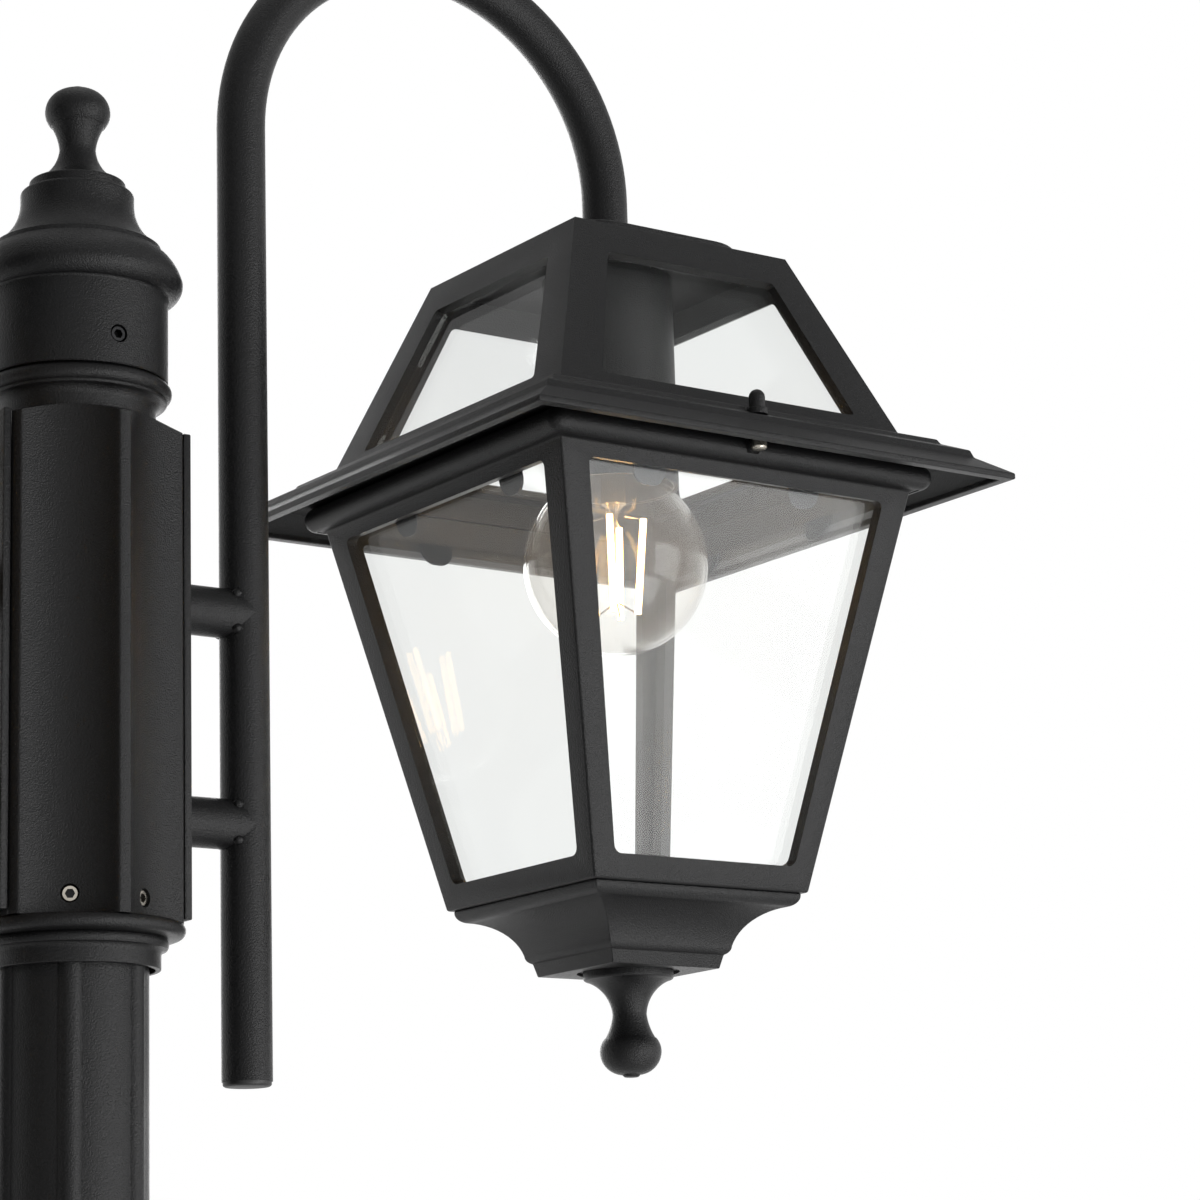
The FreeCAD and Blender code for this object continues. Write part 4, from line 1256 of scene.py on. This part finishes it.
@dataclass
class Bracket(Fitting):
    """Weldment of a plate, two stubs and a bent tube, with a plug in the tube's end."""

    upright_reach: float = 56.0
    tube_radius: float = 7.5
    tube_wall: float = 1.5
    tube_sides: int = 40
    arch_parts: int = 56
    arch_height: float = 104.0
    upright_bottom: float = -189.5
    arm_end: float = 70.7
    stub_heights: tuple[float, float] = (-50.6, -114.2)
    plate_half_width: float = 14.5
    plate_inner: float = 27.75
    plate_thick: float = 2.5
    plate_top: float = -1.2
    plate_bottom: float = -145.4
    plate_round: float = 0.5
    plate_weld: Triple = (2.8, 6.0, 2.2)
    weld_rise: float = 0.4
    stub_lap: float = 0.5
    tack: Triple = (3.4, 3.2, 3.0)
    tack_turn: float = 45.0
    plug_thick: float = 1.5
    plug_rim: float = 0.9
    plug_rim_bow: float = 0.1
    plug_step: float = 0.35
    plug_edge: float = 1.05
    plug_slip: float = 0.2
    plug_spigot: float = 8.0

    def tube(self) -> Form:
        """Bent tube with its wall."""
        form = Form()
        foot = Vector((self.upright_reach, 0, self.upright_bottom))
        ring = bmesh.ops.create_circle(form.mesh, cap_ends=False, segments=self.tube_sides, radius=self.tube_radius,
                                       matrix=Matrix.Translation(foot))["verts"]
        edges = list({edge for vert in ring for edge in vert.link_edges})
        edges = form.extrude(edges, AXIS_Z * (self.arch_height - self.upright_bottom))
        centre = Vector(((self.upright_reach + LANTERN_REACH) / 2, 0, self.arch_height))
        edges = form.spin(edges, centre, Vector((0, 1, 0)), math.pi, self.arch_parts)
        form.extrude(edges, AXIS_Z * (self.arm_end - self.arch_height))
        form.close()
        bmesh.ops.solidify(form.mesh, geom=form.mesh.faces[:], thickness=self.tube_wall)
        return form.close()

    def welds(self) -> Form:
        """Stubs, with tacks of weld around the upright's end and a run of weld at the plate."""
        form = Form()
        face = self.plate_inner + self.plate_thick
        for height in self.stub_heights:
            form.rod(self.tube_radius, Vector((face - self.stub_lap, 0, height)),
                     Vector((self.upright_reach, 0, height)), self.tube_sides)
            for rise in (-self.tube_radius, self.tube_radius):
                form.blob(Vector(self.plate_weld), Vector((face + self.weld_rise, 0, height + rise)))
            for quarter in range(4):
                turn = math.radians(self.tack_turn) + quarter * math.pi / 2
                across = self.tube_radius * math.sin(turn)
                reach = self.upright_reach - math.sqrt(self.tube_radius ** 2 - across ** 2)
                form.blob(Vector(self.tack), Vector((reach, across, height + self.tube_radius * math.cos(turn))))
        return form

    def plate(self) -> Form:
        """Flat plate with broken edges."""
        height = self.plate_top - self.plate_bottom
        centre = Vector((self.plate_inner + self.plate_thick / 2, 0, (self.plate_top + self.plate_bottom) / 2))
        size = Vector((self.plate_thick, 2 * self.plate_half_width, height))
        return Form().block(size, centre).soften(self.plate_round)

    def build(self) -> None:
        """Make the bracket and its plug."""
        self.add(self.tube().join(self.welds()).join(self.plate()), "bracket_weldment", Slot.COAT, "bracket", 0.0)
        rim = self.tube_radius - self.plug_step
        spigot = self.tube_radius - self.tube_wall - self.plug_slip
        plug = Form().turned(
            (0, -self.plug_thick), (self.tube_radius - self.plug_edge, -self.plug_thick),
            (rim, -self.plug_rim, -self.plug_rim_bow), (rim, 0), (spigot, 0), (spigot, self.plug_spigot),
            (0, self.plug_spigot), sides=self.tube_sides)
        foot = Matrix.Translation(AXIS_Z * self.upright_bottom)
        self.add(plug, "upright_plug", Slot.PLASTIC, "tube_plug", self.upright_reach, foot)


@dataclass
class LanternRoof(Fitting):
    """Glazed pyramid and moulded brim in one casting, with the nuts of its two screws."""

    slope: Slope = Slope(66.0, 18.2, 42.0, 79.7)
    window: Window = Window(22.0, 68.6, 15.0, 13.6, 1.5)
    wall: float = 3.0
    pad_half: float = 34.5
    pad_height: float = 4.8
    pad_corner: float = 15.0
    pad_round: float = 0.8
    mitre_round: float = 0.6
    brim_half: float = 92.0
    lip: float = 1.9
    lip_width: float = 3.8
    slope_run: float = 9.0
    slope_rise: float = 6.2
    lower_step: float = 2.5
    flat_run: float = 6.5
    flat_rise: float = 2.8
    upper_step: float = 1.6
    step_draft: float = 0.85
    ease: float = 0.4
    seat_half: float = 79.6
    seat_step: float = 1.2
    nut_radius: float = 2.55
    nut_height: float = 8.2
    nut_flange_radius: float = 3.2
    nut_flange_height: float = 2.0
    nut_recess_radius: float = 3.8

    def casting(self) -> Form:
        """Roof, brim and pad."""
        inner_top = self.slope.head - self.wall
        inset = self.wall * self.slope.shift
        lip_inner = self.brim_half - self.lip_width
        moulding = eased([
            (self.seat_half, SEAT_HEIGHT + self.seat_step), (lip_inner, self.lip), (lip_inner, 0),
            (self.brim_half, 0), (self.brim_half, self.lip), *self.brim_steps(),
            (self.slope.foot_half, self.slope.foot)], self.ease)
        form = Form().mitred(
            (0, inner_top), (self.slope.half(inner_top) - inset, inner_top),
            (self.slope.foot_half - inset, self.slope.foot),
            (OPENING_HALF, self.slope.foot - self.wall), (OPENING_HALF, SEAT_HEIGHT),
            (self.seat_half, SEAT_HEIGHT), *moulding, (self.slope.head_half, self.slope.head),
            (0, self.slope.head), parts=3)
        form.windows(self.slope, self.window, self.wall).round_mitres(self.mitre_round)
        spots = Form()
        for spot in spread(SCREW_REACH):
            spots.rod(self.nut_recess_radius, spot + AXIS_Z * self.nut_seat(), spot + AXIS_Z * self.slope.foot)
        form.cut(spots)
        size = Vector((2 * self.pad_half, 2 * self.pad_half, self.pad_height))
        middle = self.slope.head + self.pad_height / 2
        pad = Form().block(size, AXIS_Z * middle)
        upright = [edge for edge in pad.mesh.edges if edge.verts[0].co.xy == edge.verts[1].co.xy]
        pad.round_edges(upright, self.pad_corner, CORNER_PARTS)
        rim = [edge for edge in pad.mesh.edges if all(vert.co.z > middle for vert in edge.verts)
               and edge.calc_face_angle(0.0) > RIM_BEND]
        return form.join(pad.round_edges(rim, self.pad_round))

    def brim_steps(self) -> list[Step]:
        """Corners of the two steps on the brim's upper side, from the lip inwards."""
        lower_foot = (self.brim_half - self.slope_run, self.lip + self.slope_rise)
        lower_top = (lower_foot[0] - self.step_draft, lower_foot[1] + self.lower_step)
        upper_foot = (lower_top[0] - self.flat_run, lower_top[1] + self.flat_rise)
        upper_top = (upper_foot[0] - self.step_draft, upper_foot[1] + self.upper_step)
        return [lower_foot, lower_top, upper_foot, upper_top]

    def nut_seat(self) -> float:
        """Height of the spot face for a nut, level with the brim's flat at the screw's outer side."""
        outer, inner = self.brim_steps()[1:3]
        share = (outer[0] - SCREW_REACH - SCREW_RADIUS) / self.flat_run
        return outer[1] + share * (inner[1] - outer[1])

    def nuts(self) -> Form:
        """Two domed nuts on the brim."""
        base = self.nut_seat()
        flange_top = base + self.nut_flange_height
        straight = base + self.nut_height - self.nut_radius
        form = Form()
        for spot in spread(SCREW_REACH):
            nut = Form().turned(
                *eased([(0, base), (self.nut_flange_radius, base), (self.nut_flange_radius, flange_top),
                        (self.nut_radius, flange_top), (self.nut_radius, straight)], self.ease / 2),
                (0, base + self.nut_height, -self.nut_radius * QUARTER), sides=32, parts=8)
            form.join(nut.moved(Matrix.Translation(spot)))
        return form

    def build(self) -> None:
        """Make the casting and its nuts, and dress the panes."""
        self.add(self.casting(), "roof_casting", Slot.COAT, "lantern_roof")
        self.add(self.nuts(), "dome_nuts", Slot.COAT, "cap_nuts")
        for number in range(1, 5):
            self.dress(f"roof_pane_{number}", Slot.PANE)


@dataclass
class LanternCage(Fitting):
    """Tapered frame with a half-round crown, its screws, panes and spring tabs, and the cup below."""

    slope: Slope = Slope(41.2, -129.2, 68.2, -1.4)
    window: Window = Window(-121.6, -6.2, 8.2, 9.8, 2.5)
    wall: float = 4.0
    mitre_round: float = 0.8
    crown_half: float = 74.4
    crown_corner: float = 4.6
    crown_lap: float = 0.2
    screw_head_radius: float = 2.6
    screw_head_height: float = 3.6
    screw_head_round: float = 1.1
    screw_top: float = 14.0
    notch_radius: float = 3.8
    notch_floor: float = 0.6
    lug_width: float = 7.0
    lug_thick: float = 2.0
    pane_thick: float = 2.0
    pane_gap: float = 0.2
    pane_overlap: float = 1.6
    clip_width: float = 12.0
    clip_height: float = 7.0
    clip_thick: float = 0.8
    clip_reach: float = 30.0
    clip_round: float = 4.9
    cup_lip_half: float = 39.4
    cup_lip: float = 4.0
    cup_lip_run: float = 2.8
    cup_lip_bow: float = 1.0
    cove_half: float = 23.6
    cove_bottom: float = -147.4
    cove_bow: float = 2.6
    fascia_half: float = 21.7
    fascia_draft: float = 1.1
    fascia_step: float = 2.6
    fascia_bow: float = 0.5
    cup_bottom: float = -151.6
    cup_wall: float = 3.0
    cup_mitre_round: float = 0.9
    cup_recess_radius: float = 16.3
    cup_recess: float = 1.0

    def casting(self) -> Form:
        """Frame, crown and lugs."""
        inset = self.wall * self.slope.shift
        radius = (SEAT_HEIGHT - self.slope.head) / 2
        root = self.crown_half - radius
        lap = root + self.crown_lap
        frame_form = Form().mitred(
            (self.slope.foot_half, self.slope.foot), (self.slope.head_half, self.slope.head),
            (lap, self.slope.head + self.crown_lap), (lap, SEAT_HEIGHT), (OPENING_HALF, SEAT_HEIGHT),
            (self.slope.head_half - inset, self.slope.head), (self.slope.foot_half - inset, self.slope.foot),
            closed=True)
        frame_form.windows(self.slope, self.window, self.wall).round_mitres(self.mitre_round)
        crown = Form().band(self.crown_half - self.crown_corner, (root, self.slope.head),
                            (root, SEAT_HEIGHT, -radius), parts=14)
        lug_bottom = SEAT_HEIGHT - self.lug_thick
        notches = Form()
        lugs = Form()
        for spot in spread(SCREW_REACH):
            notches.rod(self.notch_radius, spot + AXIS_Z * self.notch_floor, spot + AXIS_Z * lug_bottom)
            lugs.rod(self.lug_width / 2, spot + AXIS_Z * lug_bottom, spot + AXIS_Z * SEAT_HEIGHT)
            middle = spot.normalized() * ((root + SCREW_REACH) / 2) + AXIS_Z * (SEAT_HEIGHT - self.lug_thick / 2)
            lugs.block(Vector((self.lug_width, SCREW_REACH - root, self.lug_thick)), middle)
        return frame_form.join(crown.cut(notches)).join(lugs)

    def screws(self) -> Form:
        """Two screws whose heads show in the crown's notches."""
        form = Form()
        head = SEAT_HEIGHT - self.lug_thick
        foot = head - self.screw_head_height
        for spot in spread(SCREW_REACH):
            screw = Form().turned(
                (0, foot), (self.screw_head_radius - self.screw_head_round, foot),
                (self.screw_head_radius, foot + self.screw_head_round, -self.screw_head_round * QUARTER),
                (self.screw_head_radius, head), (SCREW_RADIUS, head), (SCREW_RADIUS, self.screw_top),
                (0, self.screw_top), sides=32)
            form.join(screw.moved(Matrix.Translation(spot)))
        return form

    def clips(self) -> Form:
        """Spring tabs with a rounded lower end, two behind the top of each pane."""
        form = Form()
        top = self.window.head + self.pane_overlap
        depth = self.wall + self.pane_gap * 2 + self.pane_thick + self.clip_thick / 2
        lean = math.atan2(self.slope.head_half - self.slope.foot_half, self.slope.head - self.slope.foot)
        for quarter in range(4):
            for across in spread(self.clip_reach):
                middle = AXIS_Z * (-self.clip_height / 2)
                tab = Form().block(Vector((self.clip_thick, self.clip_width, self.clip_height)), middle)
                low = [edge for edge in tab.mesh.edges if all(vert.co.z < middle.z for vert in edge.verts)
                       and edge.verts[0].co.y == edge.verts[1].co.y]
                tab.round_edges(low, self.clip_round, 6)
                seat = Vector((self.slope.half(top), 0, top)) + across - self.slope.normal * depth
                form.join(tab.moved(Matrix.Rotation(quarter * math.pi / 2, 4, "Z") @ Matrix.Translation(seat)
                                    @ Matrix.Rotation(lean, 4, "Y")))
        return form

    def cup(self) -> Form:
        """Cast cup with a cove down to its fascia."""
        lip_bottom = self.slope.foot - self.cup_lip
        cove_foot = self.cove_bottom + self.fascia_step
        form = Form().mitred(
            (0, self.cup_bottom), (self.fascia_half - self.fascia_draft, self.cup_bottom),
            (self.fascia_half, self.cove_bottom), (self.cove_half, cove_foot, -self.fascia_bow),
            (self.cup_lip_half - self.cup_lip_run, lip_bottom, self.cove_bow),
            (self.cup_lip_half, self.slope.foot, -self.cup_lip_bow),
            (self.cup_lip_half - self.cup_wall * 2, self.slope.foot),
            (self.cove_half - self.cup_wall, cove_foot + self.cup_wall, -self.cove_bow),
            (self.fascia_half - self.cup_wall, self.cup_bottom + self.cup_wall),
            (0, self.cup_bottom + self.cup_wall), parts=12)
        recess = Form().rod(self.cup_recess_radius, AXIS_Z * (self.cup_bottom - self.cup_wall),
                            AXIS_Z * (self.cup_bottom + self.cup_recess), 96)
        return form.round_mitres(self.cup_mitre_round).cut(recess)

    def build(self) -> None:
        """Make the cage, the cup and their small pieces."""
        self.add(self.casting(), "cage_casting", Slot.COAT, "lantern_cage")
        self.add(self.screws(), "crown_screws", Slot.STEEL, "cage_screws")
        self.add(self.clips(), "spring_tabs", Slot.DARK, "pane_clips")
        self.add(self.cup(), "cup_casting", Slot.COAT, "base_cup")
        hang = Matrix.Translation(AXIS_Z * (self.cup_bottom + self.cup_recess)) @ Matrix.Rotation(math.pi, 4, "X")
        self.add(Finial().form(), "drop_knob", Slot.COAT, "drop_finial", seat=hang)
        for number in range(1, 5):
            self.dress(f"cage_pane_{number}", Slot.PANE)


@dataclass
class Lamp(Fitting):
    """Sleeve, holder and clear bulb with four straight filaments."""

    sleeve_radius: float = 21.4
    sleeve_wall: float = 1.4
    sleeve_bottom: float = 6.0
    sleeve_top: float = 76.7
    sleeve_edge: float = 0.3
    sleeve_edge_bow: float = 0.1
    sides: int = 72
    bulb_radius: float = 30.0
    bulb_centre: float = -19.0
    bulb_wall: float = 0.9
    neck_radius: float = 13.0
    neck_top: float = 31.0
    neck_bow: float = 1.6
    shoulder_angle: float = math.radians(48.0)
    cap_radius: float = 13.2
    cap_top: float = 54.0
    cap_shoulder: float = 3.0
    cap_shoulder_bow: float = 1.0
    thread_start: float = 2.0
    thread_end: float = 6.0
    thread_depth: float = 0.9
    thread_bow: float = 0.2
    thread_count: int = 4
    contact_radius: float = 5.0
    contact_height: float = 1.8
    stem_radius: float = 4.0
    stem_bottom: float = -3.0
    stem_bow: float = 0.5
    flare_gap: float = 0.2
    flare_bow: float = 2.0
    rod_radius: float = 1.2
    rod_bottom: float = -33.0
    rod_end: float = 0.6
    rod_bow: float = 0.3
    filament_count: int = 4
    filament_radius: float = 1.1
    filament_round: float = 0.4
    filament_bend: float = math.radians(50.0)
    filament_top: float = -4.4
    filament_bottom: float = -36.0
    top_circle: float = 9.6
    bottom_circle: float = 6.8
    lead_radius: float = 0.3
    lead_rise: float = 1.2
    lead_bite: float = 0.4
    lead_hub: float = 1.0
    lead_hub_share: float = 0.6
    liner_gap: float = 0.05
    liner_wall: float = 0.35
    liner_top: float = 46.0
    glow_watts: float = 0.6
    glow_size: float = 0.012
    glow_colour: Triple = (1.0, 0.62, 0.28)

    def sleeve(self) -> Form:
        """Turned sleeve round the holder."""
        inner = self.sleeve_radius - self.sleeve_wall
        edge = self.sleeve_bottom + self.sleeve_edge
        return Form().turned(
            (inner, edge), (inner + self.sleeve_edge, self.sleeve_bottom, self.sleeve_edge_bow),
            (self.sleeve_radius - self.sleeve_edge, self.sleeve_bottom),
            (self.sleeve_radius, edge, -self.sleeve_edge_bow), (self.sleeve_radius, self.sleeve_top),
            (inner, self.sleeve_top), closed=True, sides=self.sides, parts=3)

    def liner(self) -> Form:
        """Bright inside of the sleeve."""
        outer = self.sleeve_radius - self.sleeve_wall - self.liner_gap
        inner = outer - self.liner_wall
        foot = self.sleeve_bottom + self.liner_wall
        return Form().turned((inner, foot), (outer, foot), (outer, self.liner_top), (inner, self.liner_top),
                             closed=True, sides=self.sides)

    def skin(self, inset: float) -> list[Step]:
        """Outline of the bulb from its tip to its neck.

        Args:
            inset: how far inside the outer skin it runs.

        Returns:
            The outline's steps.
        """
        radius = self.bulb_radius - inset
        return [(0, self.bulb_centre - radius), (radius, self.bulb_centre, -radius * QUARTER),
                (radius * math.cos(self.shoulder_angle), self.bulb_centre + radius * math.sin(self.shoulder_angle),
                 -radius * bow_of(self.shoulder_angle)),
                (self.neck_radius - inset, self.neck_top, self.neck_bow)]

    def glass(self) -> Form:
        """Blown bulb with its wall."""
        inner = Form().turned(*self.skin(self.bulb_wall), sides=self.sides, parts=18)
        form = Form().turned(*self.skin(0.0), sides=self.sides, parts=18).join(inner)
        rims = [edge for edge in form.mesh.edges if edge.is_boundary]
        bmesh.ops.bridge_loops(form.mesh, edges=rims)
        return form.close()

    def screw_cap(self) -> Form:
        """Plated cap with rolled threads and its end contact."""
        start = self.neck_top + self.thread_start
        pitch = (self.cap_top - self.thread_end - start) / self.thread_count
        contact_top = self.cap_top + self.contact_height
        steps: list[Step] = [(0, self.neck_top), (self.cap_radius, self.neck_top), (self.cap_radius, start)]
        for thread in range(self.thread_count):
            foot = start + pitch * thread
            steps.append((self.cap_radius - self.thread_depth, foot + pitch / 2, self.thread_bow))
            steps.append((self.cap_radius, foot + pitch, -self.thread_bow))
        steps += [(self.cap_radius, self.cap_top - self.cap_shoulder),
                  (self.contact_radius, self.cap_top, -self.cap_shoulder_bow),
                  (self.contact_radius, contact_top), (0, contact_top)]
        return Form().turned(*steps, sides=48)

    def stem(self) -> Form:
        """Flared glass stem with a thin rod."""
        flare = self.neck_radius - self.bulb_wall - self.flare_gap
        return Form().turned(
            (0, self.rod_bottom), (self.rod_radius, self.rod_bottom + self.rod_end, -self.rod_bow),
            (self.rod_radius, self.stem_bottom),
            (self.stem_radius, self.stem_bottom + self.stem_radius, self.stem_bow),
            (self.stem_radius, self.neck_top - flare), (flare, self.neck_top, self.flare_bow), (0, self.neck_top),
            sides=48)

    def filament_ends(self) -> list[tuple[Vector, Vector]]:
        """Head and foot of each filament."""
        ends = []
        for number in range(self.filament_count):
            turn = math.pi / 4 + math.tau * number / self.filament_count
            out = Vector((math.cos(turn), math.sin(turn), 0))
            ends.append((out * self.top_circle + AXIS_Z * self.filament_top,
                         out * self.bottom_circle + AXIS_Z * self.filament_bottom))
        return ends

    def filaments(self) -> Form:
        """Coated straight filaments with rounded ends."""
        form = Form()
        for head, foot in self.filament_ends():
            form.rod(self.filament_radius, foot, head, 16)
        return form.soften(self.filament_round, self.filament_bend)

    def leads(self) -> Form:
        """Thin wires from the stem to the filaments and across their feet."""
        form = Form()
        hub = AXIS_Z * (self.rod_bottom + self.lead_hub)
        press = AXIS_Z * (self.filament_top + self.lead_rise)
        for head, foot in self.filament_ends():
            out = Vector((head.x, head.y, 0)).normalized()
            form.rod(self.lead_radius, head, out * (self.stem_radius - self.lead_bite) + press, 8)
            form.rod(self.lead_radius, foot, hub + out * self.rod_radius * self.lead_hub_share, 8)
        return form

    def build(self) -> None:
        """Make the lamp and its soft glow."""
        self.add(self.sleeve(), "sleeve_turning", Slot.COAT, "holder_sleeve")
        self.add(self.liner(), "sleeve_liner", Slot.ZINC)
        self.add(self.glass(), "bulb_blown", Slot.BULB, "bulb_glass")
        self.add(self.screw_cap(), "bulb_screw_cap", Slot.NICKEL, "bulb_cap")
        self.add(self.stem(), "bulb_flared_stem", Slot.STEM, "bulb_stem")
        self.add(self.filaments(), "bulb_glow_rods", Slot.FILAMENT, "bulb_filaments")
        self.add(self.leads(), "bulb_lead_wires", Slot.NICKEL)
        self.dress("lampholder", Slot.PLASTIC)
        self.dress("arm_nut", Slot.ZINC)
        self.glow()

    def glow(self) -> None:
        """Light the lantern from the bulb's centre, unseen in what mirrors it."""
        name = f"bulb_light_{self.side.word}"
        light = bpy.data.lights.new(name, "POINT")
        light.energy = self.glow_watts
        light.color = self.glow_colour
        light.shadow_soft_size = self.glow_size
        spot = put(name, light)
        place = self.side.place(LANTERN_REACH) @ Matrix.Translation(AXIS_Z * self.bulb_centre)
        spot.matrix_world = Matrix.Scale(MILLIMETRE, 4) @ place
        spot.visible_glossy = False


@dataclass(frozen=True)
class SoftBox:
    """A rectangular studio lamp that faces a point."""

    name: str
    place: Triple
    size: float
    watts: float

    def build(self, target: Vector) -> None:
        """Hang the lamp.

        Args:
            target: the point that it faces, in metres.
        """
        light = bpy.data.lights.new(self.name, "AREA")
        light.energy = self.watts
        light.shape = "SQUARE"
        light.size = self.size
        lamp = put(self.name, light)
        lamp.location = self.place
        lamp.rotation_euler = (target - Vector(self.place)).to_track_quat("-Z", "Y").to_euler()


@dataclass
class Studio:
    """Floor, white surround, lamps and camera."""

    floor_size: float = 8.0
    ambient: float = 0.20
    ceiling_rise: tuple[float, float] = (0.05, 0.75)
    ceiling_fall: float = 0.8
    doorway_rise: tuple[float, float] = (0.62, 0.95)
    target: Triple = (0.05, 0.0, 1.75)
    camera_place: Triple = (-0.4541, -0.89447, 1.5177)
    camera_yaw: float = math.radians(35.645)
    camera_pitch: float = math.radians(12.835)
    camera_roll: float = math.radians(-1.711)
    focal_length: float = 105.13
    sensor: float = 36.0
    near: float = 0.01
    boxes: tuple[SoftBox, ...] = (
        SoftBox("key_box", (1.2, -1.6, 1.7), 1.2, 17.0),
        SoftBox("low_box", (0.5, -1.4, 0.6), 1.0, 14.5),
        SoftBox("top_box", (0.2, 0.1, 3.6), 1.6, 5.0),
        SoftBox("rear_box", (0.9, 1.9, 2.2), 1.2, 10.0),
    )

    def floor(self) -> None:
        """Plain pale floor."""
        form = Form()
        bmesh.ops.create_grid(form.mesh, x_segments=1, y_segments=1, size=self.floor_size / 2)
        mesh = form.baked("studio_floor")
        mesh.materials.append(FloorPaint().material("floor_paint"))
        item = put("studio_floor", mesh)

    def surround(self) -> None:
        """White surround for the eye, for gloss and through glass, and a dimmer one for soft light.

        What gloss mirrors falls off towards the ceiling and towards the studio's open side.
        """
        world = bpy.data.worlds.new("studio_surround")
        world.use_nodes = True
        bpy.context.scene.world = world
        graph = Graph(world.node_tree)
        way = graph.node("ShaderNodeSeparateXYZ", {0: graph.position()}).outputs
        ceiling = graph.ramp(Signal(graph, way["Z"]), *self.ceiling_rise)
        doorway = graph.ramp(Signal(graph, way["X"]) * -1.0, *self.doorway_rise)
        shine = graph.ray("Glossy") * (1.0 - ceiling * self.ceiling_fall) * (1.0 - doorway)
        soft = graph.shader("Background", {"Color": WHITE, "Strength": self.ambient})
        bright = graph.shader("Background", {"Color": WHITE, "Strength": 1.0})
        graph.node("ShaderNodeOutputWorld", {"Surface": graph.mix(graph.seen(shine), soft, bright)})

    def camera(self) -> None:
        """Camera at the photograph's place."""
        lens = bpy.data.cameras.new("studio_camera")
        lens.lens = self.focal_length
        lens.sensor_width = self.sensor
        lens.clip_start = self.near
        item = put("studio_camera", lens)
        aim = (Matrix.Rotation(-self.camera_yaw, 4, "Z") @ Matrix.Rotation(math.pi / 2 + self.camera_pitch, 4, "X")
               @ Matrix.Rotation(self.camera_roll, 4, "Z"))
        item.matrix_world = Matrix.Translation(self.camera_place) @ aim
        bpy.context.scene.camera = item

    def build(self) -> None:
        """Set the studio up."""
        bpy.context.scene.view_settings.view_transform = "Standard"
        self.floor()
        self.surround()
        for box in self.boxes:
            box.build(Vector(self.target))
        self.camera()


def main() -> None:
    """Build the studio and the lamp post in order."""
    logging.basicConfig(level=logging.INFO, format="%(name)s %(message)s")
    workshop = Workshop()
    Studio().build()
    Post(workshop).build()
    for side in Side:
        Bracket(workshop, side).build()
        LanternRoof(workshop, side).build()
        LanternCage(workshop, side).build()
        Lamp(workshop, side).build()
    workshop.dress("plate_screws", Slot.ZINC)


if __name__ == "__main__":
    main()
